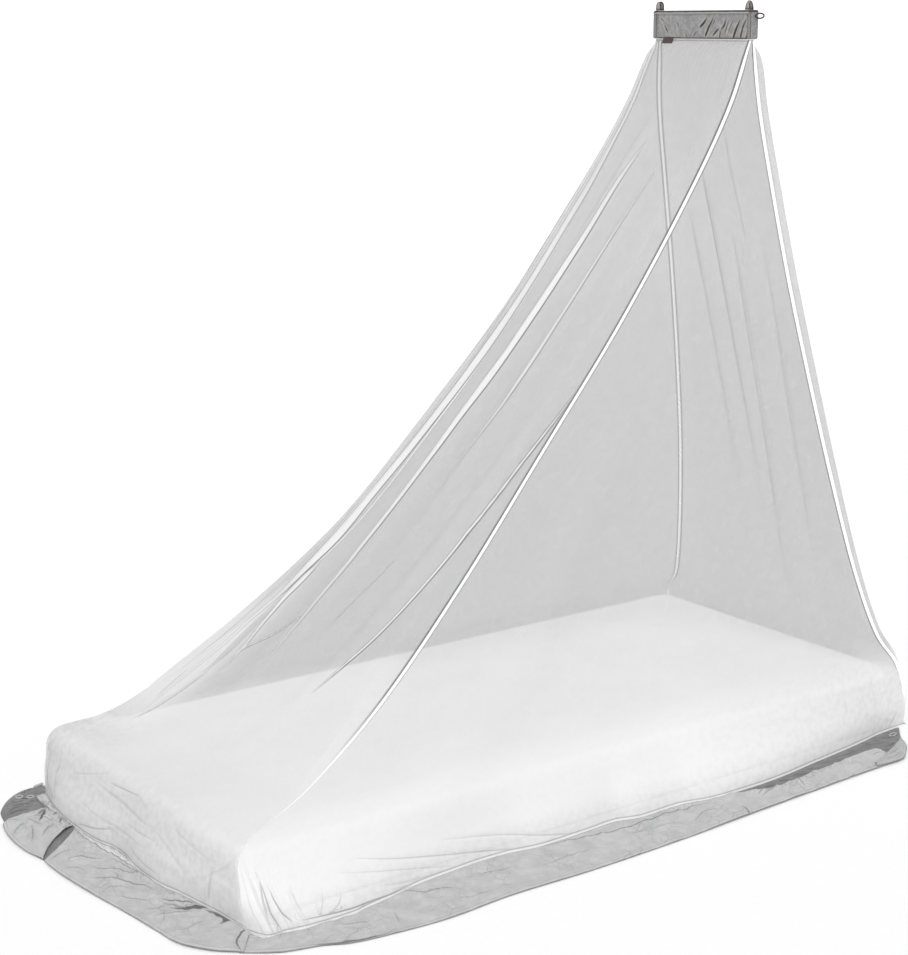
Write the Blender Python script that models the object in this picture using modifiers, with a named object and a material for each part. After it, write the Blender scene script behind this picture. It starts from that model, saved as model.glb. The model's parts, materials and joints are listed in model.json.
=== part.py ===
"""A wedge-shaped net canopy hung over a single mattress on the floor. Metres, +Z up.

The origin is the point that the canopy hangs from, midway between the tops of its two webbing loops.
+X runs from the foot of the mattress to its head, and +Y from its near side to its far side.
Below, "along" is measured from the foot of the mattress, "across" from its centre line and "height" from
the floor, and at() turns the three into a point of the model.
"""

from collections import namedtuple
from math import cos, exp, pi, sin

import bmesh
import bpy
from mathutils import Matrix, Vector

GAP = 0.0004  # between neighbouring pieces

# The mattress, a 200 x 90 cm single.
MATTRESS_LENGTH = 2.0
MATTRESS_WIDTH = 0.9
MATTRESS_HEIGHT = 0.163
MATTRESS_CORNER = 0.045
MATTRESS_TOP_EDGE = 0.025
MATTRESS_BASE_EDGE = 0.012

# The heading: a padded pouch that hangs by two webbing loops.
HANG_HEIGHT = 1.885  # tops of the loops
POUCH_ALONG = 1.667
POUCH_BASE = 1.791
POUCH_LENGTH = 0.360
POUCH_DEEP = 0.028
POUCH_TALL = 0.071
POUCH_SOFTNESS = 0.006
POUCH_END = 0.014
PIPING_RADIUS = 0.002
PIPING_DROP = 0.007
LOOP_WIDTH = 0.018
LOOP_DEEP = 0.012
WEBBING_THICK = 0.0016
LOOP_ACROSS = {"near": -0.159, "far": 0.168}
TAB_ACROSS = 0.116
TAB_WIDTH = 0.038
TAB_ABOVE = 0.009
TAB_BELOW = 0.011
TAB_LEAN = 0.006
TAB_THICK = 0.0015
RING_LONG = 0.029
RING_TALL = 0.013
RING_WIRE = 0.0014
RING_BELOW_TOP = 0.0145

# The net and its tapes.
NET_THICK = 0.0012
TAPE_THICK = 0.0014
TAPE_HALF = 0.0055
TAPE_TOP_HALF = 0.003
TAPE_FULL_LEVEL = 0.05
NET_TOP = POUCH_BASE - 2 * GAP
NET_LEVELS = 20
TOP_EDGE_LEVEL = 0.8  # where the net turns over the mattress's top edge

# The skirt on the floor.
SKIRT_THICK = 0.0015
SKIRT_HEM_GAP = NET_THICK / 2 + 0.0009
UNDER_THICK = 0.0012
SKIRT_ABOVE_UNDER = UNDER_THICK + GAP
SKIRT_COLUMNS = 4

# Where the seams run. level counts from 0 at the pouch to 1 on the floor. half is half the canopy's width.
SeamPoint = namedtuple("SeamPoint", "level height along half")
FOOT_SEAM = (
    SeamPoint(0.0, NET_TOP, 1.6625, 0.172),
    SeamPoint(0.1, 1.620, 1.583, 0.182),
    SeamPoint(0.2, 1.400, 1.441, 0.187),
    SeamPoint(0.3, 1.119, 1.227, 0.197),
    SeamPoint(0.4, 0.840, 0.977, 0.216),
    SeamPoint(0.5, 0.572, 0.716, 0.252),
    SeamPoint(0.6, 0.366, 0.443, 0.326),
    SeamPoint(0.7, 0.240, 0.205, 0.394),
    SeamPoint(0.8, 0.173, 0.012, 0.446),
    SeamPoint(0.9, 0.082, -0.014, 0.468),
    SeamPoint(1.0, 0.001, -0.010, 0.487),
)
HEAD_SEAM = (
    SeamPoint(0.0, NET_TOP, 1.6715, 0.172),
    SeamPoint(0.1, 1.620, 1.688, 0.186),
    SeamPoint(0.2, 1.420, 1.728, 0.201),
    SeamPoint(0.3, 1.180, 1.780, 0.222),
    SeamPoint(0.4, 0.930, 1.836, 0.252),
    SeamPoint(0.5, 0.670, 1.893, 0.290),
    SeamPoint(0.6, 0.420, 1.945, 0.339),
    SeamPoint(0.7, 0.250, 1.985, 0.390),
    SeamPoint(0.8, 0.173, 2.008, 0.446),
    SeamPoint(0.9, 0.082, 2.026, 0.464),
    SeamPoint(1.0, 0.001, 2.016, 0.472),
)
SEAMS = {"foot": FOOT_SEAM, "head": HEAD_SEAM}
SIDES = {"near": -1, "far": 1}

# How far each panel swells between its tapes. The tapes lie on the sides, so the foot and head panels come
# round the corner in a boxy curve (square is 8, and 2 for an even one), with columns close together there.
Billow = namedtuple("Billow", "level depth")
SIDE_BILLOW = (
    Billow(0.0, 0.0),
    Billow(0.10, 0.005),
    Billow(0.40, 0.012),
    Billow(0.72, 0.005),
    Billow(1.0, 0.0),
)
FOOT_BILLOW = (
    Billow(0.0, 0.0),
    Billow(0.03, 0.014),
    Billow(0.10, 0.024),
    Billow(0.25, 0.035),
    Billow(0.50, 0.046),
    Billow(0.62, 0.034),
    Billow(0.72, 0.014),
    Billow(0.80, 0.003),
    Billow(1.0, 0.0),
)
HEAD_BILLOW = (
    Billow(0.0, 0.0),
    Billow(0.03, 0.020),
    Billow(0.10, 0.033),
    Billow(0.30, 0.034),
    Billow(0.50, 0.026),
    Billow(0.70, 0.032),
    Billow(0.80, 0.024),
    Billow(1.0, 0.0),
)
BOXY = (0, 0.025, 0.07, 0.15, 0.24, 0.33, 0.42, 0.5, 0.58, 0.67, 0.76, 0.85, 0.93, 0.975, 1)
EVEN = tuple(k / 13 for k in range(14))

# How far the net's foot stands out past a straight line between its corners, on the floor.
Flare = namedtuple("Flare", "share out")
NEAR_FLARE = (
    Flare(0.0, 0.0),
    Flare(0.03, 0.040),
    Flare(0.10, 0.050),
    Flare(0.20, 0.022),
    Flare(0.28, 0.008),
    Flare(0.40, 0.026),
    Flare(0.55, 0.036),
    Flare(0.64, 0.062),
    Flare(0.72, 0.060),
    Flare(0.82, 0.046),
    Flare(0.95, 0.006),
    Flare(1.0, 0.0),
)
FOOT_FLARE = (
    Flare(0.0, 0.0),
    Flare(0.18, 0.018),
    Flare(0.34, 0.034),
    Flare(0.50, 0.026),
    Flare(0.72, 0.048),
    Flare(0.88, 0.034),
    Flare(1.0, 0.0),
)
FAR_FLARE = (Flare(0.0, 0.0), Flare(0.2, 0.03), Flare(0.45, 0.012), Flare(0.7, 0.036), Flare(1.0, 0.0))
HEAD_FLARE = (Flare(0.0, 0.0), Flare(0.4, 0.006), Flare(0.75, 0.016), Flare(1.0, 0.0))

# Long soft folds in a panel, from share "top" at the pouch to share "base" at the floor.
Fold = namedtuple("Fold", "top base first last height width")
FOOT_FOLDS = (
    Fold(0.84, 0.86, 0.06, 0.76, 0.012, 0.050),
    Fold(0.60, 0.64, 0.08, 0.70, 0.016, 0.050),
    Fold(0.26, 0.64, 0.16, 0.54, 0.010, 0.045),
    Fold(-0.30, 0.62, 0.34, 0.84, 0.012, 0.045),
)
HEAD_FOLDS = (
    Fold(0.26, 0.33, 0.22, 0.78, 0.008, 0.045),
    Fold(0.57, 0.42, 0.20, 0.82, 0.010, 0.045),
    Fold(0.85, 0.39, 0.14, 0.72, 0.009, 0.045),
    Fold(1.08, 0.42, 0.22, 0.70, 0.008, 0.045),
)
SIDE_FOLDS = (Fold(0.30, 0.24, 0.35, 0.92, 0.008, 0.06), Fold(0.62, 0.66, 0.40, 0.95, 0.007, 0.07))

# Panels run from their first seam to their last. beside is their distance from the edge of a tape.
Panel = namedtuple("Panel", "name first last outward beside columns billow square flare folds")
NEAR_FOOT = ("foot", "near")
NEAR_HEAD = ("head", "near")
FAR_FOOT = ("foot", "far")
FAR_HEAD = ("head", "far")
TO_NEAR = (0, -1, 0)
TO_FAR = (0, 1, 0)
TO_FOOT = (-1, 0, 0)
TO_HEAD = (1, 0, 0)
PANELS = (
    Panel("net_near", NEAR_FOOT, NEAR_HEAD, TO_NEAR, -0.0010, EVEN, SIDE_BILLOW, 2, NEAR_FLARE, SIDE_FOLDS),
    Panel("net_far", FAR_FOOT, FAR_HEAD, TO_FAR, -0.0010, EVEN, SIDE_BILLOW, 2, FAR_FLARE, SIDE_FOLDS),
    Panel("net_foot", NEAR_FOOT, FAR_FOOT, TO_FOOT, 0.0020, BOXY, FOOT_BILLOW, 8, FOOT_FLARE, FOOT_FOLDS),
    Panel("net_head", NEAR_HEAD, FAR_HEAD, TO_HEAD, 0.0015, BOXY, HEAD_BILLOW, 8, HEAD_FLARE, HEAD_FOLDS),
)

# The skirt's outer edge on the floor, by its share of each side.
Edge = namedtuple("Edge", "share along across")
NEAR_EDGE = (
    Edge(0.0, -0.074, -0.553),
    Edge(0.03, 0.019, -0.611),
    Edge(0.10, 0.160, -0.648),
    Edge(0.22, 0.410, -0.667),
    Edge(0.42, 0.820, -0.673),
    Edge(0.62, 1.260, -0.660),
    Edge(0.80, 1.600, -0.649),
    Edge(0.93, 1.835, -0.634),
    Edge(1.0, 1.915, -0.580),
)
FOOT_EDGE = (
    Edge(0.0, -0.082, -0.548),
    Edge(0.08, -0.145, -0.468),
    Edge(0.25, -0.167, -0.270),
    Edge(0.45, -0.190, -0.058),
    Edge(0.60, -0.197, 0.094),
    Edge(0.75, -0.206, 0.246),
    Edge(0.85, -0.175, 0.350),
    Edge(1.0, -0.090, 0.480),
)
FAR_EDGE = (
    Edge(0.0, 0.020, 0.505),
    Edge(0.08, 0.130, 0.590),
    Edge(0.30, 0.600, 0.640),
    Edge(0.60, 1.200, 0.628),
    Edge(0.90, 1.850, 0.636),
    Edge(1.0, 2.084, 0.590),
)
HEAD_EDGE = (
    Edge(0.0, 2.040, -0.462),
    Edge(0.15, 2.080, -0.320),
    Edge(0.40, 2.150, -0.080),
    Edge(0.75, 2.160, 0.280),
    Edge(1.0, 2.094, 0.584),
)

# The skirt's lengths, from a share of the net's foot and of the outer edge to another. Its puckers rise
# between net and edge and end at the share "calm". From the share "lift" on, it lies on a dark corner piece.
Skirt = namedtuple(
    "Skirt", "name panel edge start stop start_out stop_out rows_a_column waves rise calm lift"
)
SKIRTS = (
    Skirt("skirt_near", "net_near", NEAR_EDGE, 0.006, 0.985, 0.0, 1.0, 3, 15, 0.009, 0.86, 0.60),
    Skirt("skirt_foot", "net_foot", FOOT_EDGE, 0.014, 0.690, 0.0, 0.590, 2, 9, 0.010, 1.2, 0.50),
    Skirt("skirt_foot_corner", "net_foot", FOOT_EDGE, 0.760, 0.890, 0.604, 0.875, 3, 11, 0.006, 1.2, 0.0),
    Skirt("skirt_far", "net_far", FAR_EDGE, 0.012, 0.992, 0.0, 1.0, 2, 12, 0.008, 1.2, None),
    Skirt("skirt_head", "net_head", HEAD_EDGE, 0.030, 0.974, 0.0, 1.0, 2, 7, 0.007, 1.2, None),
)

# Dark corner pieces, row by row from the net out to the skirt's edge.
CornerRow = namedtuple("CornerRow", "inner_along inner_across outer_along outer_across")
CORNER_FOOT_FAR = (
    CornerRow(-0.068, 0.130, -0.178, 0.020),
    CornerRow(-0.074, 0.230, -0.190, 0.150),
    CornerRow(-0.066, 0.330, -0.196, 0.250),
    CornerRow(-0.058, 0.400, -0.170, 0.345),
    CornerRow(-0.046, 0.440, -0.152, 0.425),
    CornerRow(-0.038, 0.465, -0.112, 0.473),
    CornerRow(-0.030, 0.490, -0.070, 0.502),
    CornerRow(-0.012, 0.498, -0.030, 0.513),
    CornerRow(0.004, 0.500, 0.008, 0.512),
)
CORNER_HEAD_NEAR = (
    CornerRow(1.240, -0.552, 1.240, -0.640),
    CornerRow(1.400, -0.548, 1.400, -0.640),
    CornerRow(1.600, -0.532, 1.600, -0.632),
    CornerRow(1.760, -0.511, 1.740, -0.622),
    CornerRow(1.880, -0.492, 1.840, -0.608),
    CornerRow(1.960, -0.482, 1.900, -0.572),
    CornerRow(2.018, -0.481, 1.980, -0.530),
)
FLAP = (
    CornerRow(1.758, -0.611, 1.762, -0.630),
    CornerRow(1.800, -0.596, 1.822, -0.627),
    CornerRow(1.850, -0.572, 1.880, -0.600),
    CornerRow(1.905, -0.549, 1.912, -0.566),
)
FLAP_RISE = 0.006
CORNER_PARTS = 3

# Small trim on the dark corners: along, across.
PEG_RING_RADIUS = 0.008
PEG_RING_WIRE = 0.0016
PEG_RINGS = {"peg_ring_1": (-0.088, 0.468), "peg_ring_2": (-0.066, 0.452)}
TOGGLE_AT = (-0.021, 0.5045)
TOGGLE_LONG = 0.022
TOGGLE_RADIUS = 0.0035
PEG_LOOP_AT = (1.945, -0.5)

Finish = namedtuple("Finish", "red green blue roughness")
WHITE_NET = Finish(0.86, 0.86, 0.86, 0.8)
WHITE_TAPE = Finish(0.92, 0.92, 0.91, 0.7)
WHITE_COTTON = Finish(0.88, 0.88, 0.88, 0.85)
LIGHT_SKIRT = Finish(0.55, 0.55, 0.56, 0.55)
DARK_SKIRT = Finish(0.22, 0.22, 0.22, 0.6)
POUCH_GREY = Finish(0.28, 0.27, 0.27, 0.7)
TRIM_GREY = Finish(0.10, 0.09, 0.09, 0.6)
PALE_TRIM = Finish(0.66, 0.66, 0.66, 0.5)


def at(along, across, height):
    """A point of the model from its place on the mattress and its height above the floor."""
    return Vector((along - POUCH_ALONG, across, height - HANG_HEIGHT))


def read(rows, share):
    """The columns after the first at a share, on a smooth curve through rows that start with their share."""
    last = len(rows) - 2
    first = min(max(sum(row[0] <= share for row in rows) - 1, 0), last)
    start, end = rows[first], rows[first + 1]
    before, after = rows[max(first - 1, 0)], rows[min(first + 2, last + 1)]
    span = end[0] - start[0]
    t = min(max((share - start[0]) / span, 0), 1)
    values = []
    for k in range(1, len(start)):
        leave = (end[k] - before[k]) / (end[0] - before[0]) * span
        reach = (after[k] - start[k]) / (after[0] - start[0]) * span
        values.append(
            start[k] * (2 * t**3 - 3 * t**2 + 1)
            + leave * (t**3 - 2 * t**2 + t)
            + end[k] * (3 * t**2 - 2 * t**3)
            + reach * (t**3 - t**2)
        )
    return values


def ease(start, stop, value):
    """0 up to start, 1 from stop on, and a soft step between."""
    t = min(max((value - start) / (stop - start), 0), 1)
    return t * t * (3 - 2 * t)


def material(name, finish):
    paint = bpy.data.materials.get(name)
    if paint is None:
        paint = bpy.data.materials.new(name)
        paint.use_nodes = True
        shader = paint.node_tree.nodes["Principled BSDF"]
        shader.inputs["Base Color"].default_value = (finish.red, finish.green, finish.blue, 1)
        shader.inputs["Roughness"].default_value = finish.roughness
        shader.inputs["Metallic"].default_value = 0
    return paint


def put(name, mesh_data, paint, collection):
    """A new object in the collection, with one material."""
    part = bpy.data.objects.new(name, mesh_data)
    part.data.materials.append(paint)
    collection.objects.link(part)
    return part


def sheet(name, rows, thick, paint, collection, outward=None):
    """A thin closed sheet through rows of points. It grows to the outward side, or evenly to both."""
    mesh = bmesh.new()
    grid = [[mesh.verts.new(point) for point in row] for row in rows]
    for upper, lower in zip(grid, grid[1:]):
        for k in range(len(upper) - 1):
            mesh.faces.new((upper[k], upper[k + 1], lower[k + 1], lower[k]))
    mesh.normal_update()
    if outward is not None and sum((face.normal for face in mesh.faces), Vector()).dot(outward) < 0:
        bmesh.ops.reverse_faces(mesh, faces=mesh.faces)
    data = bpy.data.meshes.new(name)
    mesh.to_mesh(data)
    mesh.free()
    data.shade_smooth()
    part = put(name, data, paint, collection)
    shell = part.modifiers.new("thickness", "SOLIDIFY")
    shell.thickness = thick
    shell.offset = 0 if outward is None else 1
    return part


def block(name, size, centre, softness, segments, paint, collection):
    """A box with rounded edges."""
    mesh = bmesh.new()
    bmesh.ops.create_cube(mesh, size=1, matrix=Matrix.Diagonal((*size, 1)))
    data = bpy.data.meshes.new(name)
    mesh.to_mesh(data)
    mesh.free()
    part = put(name, data, paint, collection)
    part.location = centre
    if softness:
        rounding = part.modifiers.new("softness", "BEVEL")
        rounding.width = softness
        rounding.segments = segments
    part.data.shade_smooth()
    part.data.set_sharp_from_angle(angle=pi / 4)
    return part


def tube(name, points, radius, closed, paint, collection):
    """A round cord through points."""
    data = bpy.data.curves.new(name, "CURVE")
    data.dimensions = "3D"
    data.bevel_depth = radius
    data.bevel_resolution = 2
    data.use_fill_caps = not closed
    spline = data.splines.new("POLY")
    spline.points.add(len(points) - 1)
    for target, point in zip(spline.points, points):
        target.co = (*point, 1)
    spline.use_cyclic_u = closed
    return put(name, data, paint, collection)


def oval(centre, long_axis, short_axis, steps):
    turns = [2 * pi * k / steps for k in range(steps)]
    return [centre + long_axis * cos(turn) + short_axis * sin(turn) for turn in turns]


# The net --------------------------------------------------------------------------------------------------


def corner(end, side, level):
    """Where a seam runs: its end is foot or head, and its side near or far."""
    height, along, half = read(SEAMS[end], level)
    return at(along, SIDES[side] * half, height)


def tape_half(level):
    """Half a tape's width, which is gathered in under the pouch."""
    return TAPE_TOP_HALF + (TAPE_HALF - TAPE_TOP_HALF) * ease(0, TAPE_FULL_LEVEL, level)


def tape_direction(end, side, level):
    """Across a tape, which lies flat in the side of the canopy, towards the foot or head panel."""
    other = "head" if end == "foot" else "foot"
    return (corner(end, side, level) - corner(other, side, level)).normalized()


def panel_base(panel, level, share):
    """A point on the flat panel between its two tapes."""
    start = corner(*panel.first, level)
    stop = corner(*panel.last, level)
    reach = tape_half(level) * (1 if panel.beside > 0 else -1) + panel.beside
    start = start + tape_direction(*panel.first, level) * reach
    stop = stop + tape_direction(*panel.last, level) * reach
    return start.lerp(stop, share)


def swelling(panel, level, share):
    """How far the panel stands out of that flat surface: its billow and its folds."""
    profile = (1 - abs(2 * share - 1) ** panel.square) ** (1 / panel.square)
    out = read(panel.billow, level)[0] * profile
    for fold in panel.folds:
        centre = fold.top + (fold.base - fold.top) * level
        window = ease(fold.first, fold.first + 0.12, level) * (1 - ease(fold.last - 0.15, fold.last, level))
        out += fold.height * window * exp(-(((share - centre) / fold.width) ** 2)) * min(profile * 2, 1)
    return out


def panel_point(panel, level, share):
    """A point of the hanging net."""
    base = panel_base(panel, level, share)
    step = 0.004
    down = panel_base(panel, min(level + step, 1), share) - panel_base(panel, max(level - step, 0), share)
    over = panel_base(panel, level, 1) - panel_base(panel, level, 0)
    normal = down.cross(over).normalized()
    outward = Vector(panel.outward)
    if normal.dot(outward) < 0:
        normal.negate()
    flare = read(panel.flare, share)[0] * ease(TOP_EDGE_LEVEL, 1, level)
    point = base + normal * swelling(panel, level, share) + outward * flare
    if level == 1:
        point.z = base.z
    return point


def make_panel(panel, collection):
    rows = []
    for row in range(NET_LEVELS + 1):
        level = row / NET_LEVELS
        rows.append([panel_point(panel, level, share) for share in panel.columns])
    sheet(panel.name, rows, NET_THICK, material("white_net", WHITE_NET), collection)


def make_tape(end, side, collection):
    rows = []
    for row in range(NET_LEVELS + 1):
        level = row / NET_LEVELS
        across = tape_direction(end, side, level) * tape_half(level)
        rows.append([corner(end, side, level) - across, corner(end, side, level) + across])
    sheet(f"tape_{end}_{side}", rows, TAPE_THICK, material("white_tape", WHITE_TAPE), collection)


# The skirt ------------------------------------------------------------------------------------------------


def hem_point(panel, share, out):
    """A point on the floor just outside the foot of a net panel, which is straight between its columns."""
    last = max(sum(column <= share for column in panel.columns) - 1, 0)
    last = min(last, len(panel.columns) - 2)
    first_share, next_share = panel.columns[last], panel.columns[last + 1]
    start = panel_point(panel, 1, first_share)
    stop = panel_point(panel, 1, next_share)
    foot = start.lerp(stop, (share - first_share) / (next_share - first_share))
    return Vector((foot.x, foot.y, -HANG_HEIGHT)) + Vector(panel.outward) * (SKIRT_HEM_GAP + out)


def skirt_shares(skirt, panel):
    """Shares of the side where the skirt has a row, the net's own columns among them."""
    shares = [skirt.start]
    for first, following in zip(panel.columns, panel.columns[1:]):
        parts = skirt.rows_a_column if following - first > 0.05 else 1
        shares += [first + (following - first) * k / parts for k in range(parts)]
    nearest = 0.008
    inside = [share for share in shares if skirt.start + nearest < share < skirt.stop - nearest]
    return [skirt.start, *inside, skirt.stop]


def light_recess(skirt, share):
    """How far the light skirt stays back from the net, where a dark corner shows between them."""
    if skirt.name != "skirt_near":
        return 0
    return 0.042 * ease(0.60, 0.74, share) + 0.035 * ease(0.88, 0.97, share)


def make_skirt(skirt, collection):
    panel = next(panel for panel in PANELS if panel.name == skirt.panel)
    rows = []
    for share in skirt_shares(skirt, panel):
        t = (share - skirt.start) / (skirt.stop - skirt.start)
        share_out = skirt.start_out + (skirt.stop_out - skirt.start_out) * t
        inner = hem_point(panel, share, light_recess(skirt, share))
        along, across = read(skirt.edge, share_out)
        outer = at(along, across, 0)
        row = []
        for column in range(SKIRT_COLUMNS + 1):
            w = column / SKIRT_COLUMNS
            point = inner.lerp(outer, w)
            wave = sin(2 * pi * skirt.waves * share + 2.1 * sin(5 * share)) * 0.5 + 0.5
            calm = 1 - ease(skirt.calm - 0.08, skirt.calm, share)
            point.z += skirt.rise * calm * wave * wave * sin(pi * w) ** 2
            if skirt.lift is not None:
                point.z += SKIRT_ABOVE_UNDER * ease(skirt.lift - 0.04, skirt.lift, share)
            row.append(point)
        rows.append(row)
    paint = material("light_grey_skirt", LIGHT_SKIRT)
    sheet(skirt.name, rows, SKIRT_THICK, paint, collection, outward=Vector((0, 0, 1)))


def make_corner(name, table, height, rise, thick, paint, collection):
    """A flat or slightly raised piece on the floor, from rows that run outwards."""
    rows = []
    for row in table:
        inner = at(row.inner_along, row.inner_across, height)
        outer = at(row.outer_along, row.outer_across, height)
        points = [inner.lerp(outer, k / CORNER_PARTS) for k in range(CORNER_PARTS + 1)]
        for k, point in enumerate(points):
            point.z += rise * sin(pi * k / CORNER_PARTS)
        rows.append(points)
    sheet(name, rows, thick, paint, collection, outward=Vector((0, 0, 1)))


def make_trim(collection):
    """Small rings, a toggle and a loop on the dark corners."""
    pale = material("pale_trim", PALE_TRIM)
    height = UNDER_THICK + GAP + PEG_RING_WIRE
    radius = PEG_RING_RADIUS
    for name, (along, across) in PEG_RINGS.items():
        ring = oval(at(along, across, height), Vector((radius, 0, 0)), Vector((0, radius, 0)), 14)
        tube(name, ring, PEG_RING_WIRE, True, pale, collection)
    height = UNDER_THICK + GAP + TOGGLE_RADIUS
    half = Vector((TOGGLE_LONG / 2, TOGGLE_LONG / 6, 0))
    centre = at(*TOGGLE_AT, height)
    tube("peg_toggle", [centre - half, centre, centre + half], TOGGLE_RADIUS, False, pale, collection)
    height = UNDER_THICK + GAP + PEG_RING_WIRE
    loop = oval(at(*PEG_LOOP_AT, height), Vector((0.014, 0.004, 0)), Vector((-0.002, 0.006, 0)), 14)
    tube("peg_loop", loop, PEG_RING_WIRE, True, pale, collection)


# The heading ----------------------------------------------------------------------------------------------


def make_pouch(collection):
    grey = material("pouch_grey", POUCH_GREY)
    middle = POUCH_BASE + POUCH_TALL / 2
    body = POUCH_LENGTH - 2 * (POUCH_END + GAP)
    size = (POUCH_DEEP, body, POUCH_TALL)
    block("pouch", size, at(POUCH_ALONG, 0, middle), POUCH_SOFTNESS, 3, grey, collection)
    for side, sign in SIDES.items():
        across = sign * (POUCH_LENGTH - POUCH_END) / 2
        size = (POUCH_DEEP, POUCH_END, POUCH_TALL)
        name = f"pouch_end_{side}"
        block(name, size, at(POUCH_ALONG, across, middle), POUCH_SOFTNESS * 0.8, 3, grey, collection)


def make_piping(collection):
    """A cord along the pouch's front, just under its top edge."""
    front = POUCH_ALONG - POUCH_DEEP / 2 - PIPING_RADIUS - GAP
    height = POUCH_BASE + POUCH_TALL - PIPING_DROP
    half = POUCH_LENGTH / 2 - POUCH_END / 2
    points = [at(front, across, height) for across in (-half, 0, half)]
    tube("pouch_piping", points, PIPING_RADIUS, False, material("trim_grey", TRIM_GREY), collection)


def make_hanging_loops(collection):
    """Two arches of webbing on top of the pouch, open through from side to side."""
    base = POUCH_BASE + POUCH_TALL + GAP
    half = LOOP_DEEP / 2 - WEBBING_THICK / 2
    spring = HANG_HEIGHT - WEBBING_THICK / 2 - half
    arch = [(half * cos(pi * k / 8), spring + half * sin(pi * k / 8)) for k in range(9)]
    profile = [(half, base), *arch, (-half, base)]
    for side, across in LOOP_ACROSS.items():
        rows = []
        for edge in (-LOOP_WIDTH / 2, LOOP_WIDTH / 2):
            rows.append([at(POUCH_ALONG + deep, across + edge, height) for deep, height in profile])
        paint = material("trim_grey", TRIM_GREY)
        sheet(f"hanging_loop_{side}", rows, WEBBING_THICK, paint, collection)


def make_tab(collection):
    """A short tab on the pouch's front, hanging over the net below it."""
    front = POUCH_ALONG - POUCH_DEEP / 2 - TAB_THICK / 2 - GAP
    profile = [(front, TAB_ABOVE), (front, POUCH_SOFTNESS), (front - TAB_LEAN, -TAB_BELOW)]
    rows = []
    for edge in (-TAB_WIDTH / 2, TAB_WIDTH / 2):
        rows.append([at(along, TAB_ACROSS + edge, POUCH_BASE + height) for along, height in profile])
    sheet("pull_tab", rows, TAB_THICK, material("trim_grey", TRIM_GREY), collection)


def make_end_ring(collection):
    height = POUCH_BASE + POUCH_TALL - RING_BELOW_TOP
    across = -(POUCH_LENGTH / 2 + GAP + RING_WIRE + RING_LONG / 2)
    long_axis = Vector((0, RING_LONG / 2, 0))
    short_axis = Vector((0, 0, RING_TALL / 2))
    ring = oval(at(POUCH_ALONG, across, height), long_axis, short_axis, 20)
    tube("end_ring", ring, RING_WIRE, True, material("trim_grey", TRIM_GREY), collection)


# The mattress ---------------------------------------------------------------------------------------------


def make_mattress(collection):
    size = (MATTRESS_LENGTH, MATTRESS_WIDTH, MATTRESS_HEIGHT)
    mesh = bmesh.new()
    bmesh.ops.create_cube(mesh, size=1, matrix=Matrix.Diagonal((*size, 1)))
    upright = [edge for edge in mesh.edges if edge.calc_length() < MATTRESS_HEIGHT * 1.01]
    bmesh.ops.bevel(mesh, geom=upright, offset=MATTRESS_CORNER, segments=6, profile=0.5, affect="EDGES")
    for level, radius in ((0.5, MATTRESS_TOP_EDGE), (-0.5, MATTRESS_BASE_EDGE)):
        height = level * MATTRESS_HEIGHT
        rim = [
            edge
            for edge in mesh.edges
            if all(abs(vert.co.z - height) < 1e-5 for vert in edge.verts)
        ]
        bmesh.ops.bevel(mesh, geom=rim, offset=radius, segments=4, profile=0.5, affect="EDGES")
    data = bpy.data.meshes.new("mattress")
    mesh.to_mesh(data)
    mesh.free()
    data.shade_smooth()
    data.set_sharp_from_angle(angle=pi / 4)
    part = put("mattress", data, material("white_cotton", WHITE_COTTON), collection)
    part.location = at(MATTRESS_LENGTH / 2, 0, MATTRESS_HEIGHT / 2)


def main():
    for old in list(bpy.data.objects):
        bpy.data.objects.remove(old, do_unlink=True)
    collection = bpy.data.collections.new("net_canopy")
    bpy.context.scene.collection.children.link(collection)
    for panel in PANELS:
        make_panel(panel, collection)
    for end in SEAMS:
        for side in SIDES:
            make_tape(end, side, collection)
    for skirt in SKIRTS:
        make_skirt(skirt, collection)
    dark = material("dark_grey_skirt", DARK_SKIRT)
    light = material("light_grey_skirt", LIGHT_SKIRT)
    make_corner("corner_foot_far", CORNER_FOOT_FAR, 0, 0, UNDER_THICK, dark, collection)
    make_corner("corner_head_near", CORNER_HEAD_NEAR, 0, 0, UNDER_THICK, dark, collection)
    flap_height = SKIRT_ABOVE_UNDER + SKIRT_THICK + GAP
    make_corner("skirt_flap", FLAP, flap_height, FLAP_RISE, SKIRT_THICK, light, collection)
    make_trim(collection)
    make_pouch(collection)
    make_piping(collection)
    make_hanging_loops(collection)
    make_tab(collection)
    make_end_ring(collection)
    make_mattress(collection)


main()
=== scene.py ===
"""Looks for a wedge-shaped net canopy over a single mattress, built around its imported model. Metres, +Z up.

+X runs from the foot of the mattress to its head, and +Y from its near side to its far side. Below, "along"
is measured from the foot of the mattress, "across" from its centre line and "height" from the floor.
"""

import json
from collections import namedtuple
from math import cos, exp, hypot, pi, radians, sin

import bmesh
import bpy
import numpy as np
from mathutils import Matrix, Vector, noise

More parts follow.
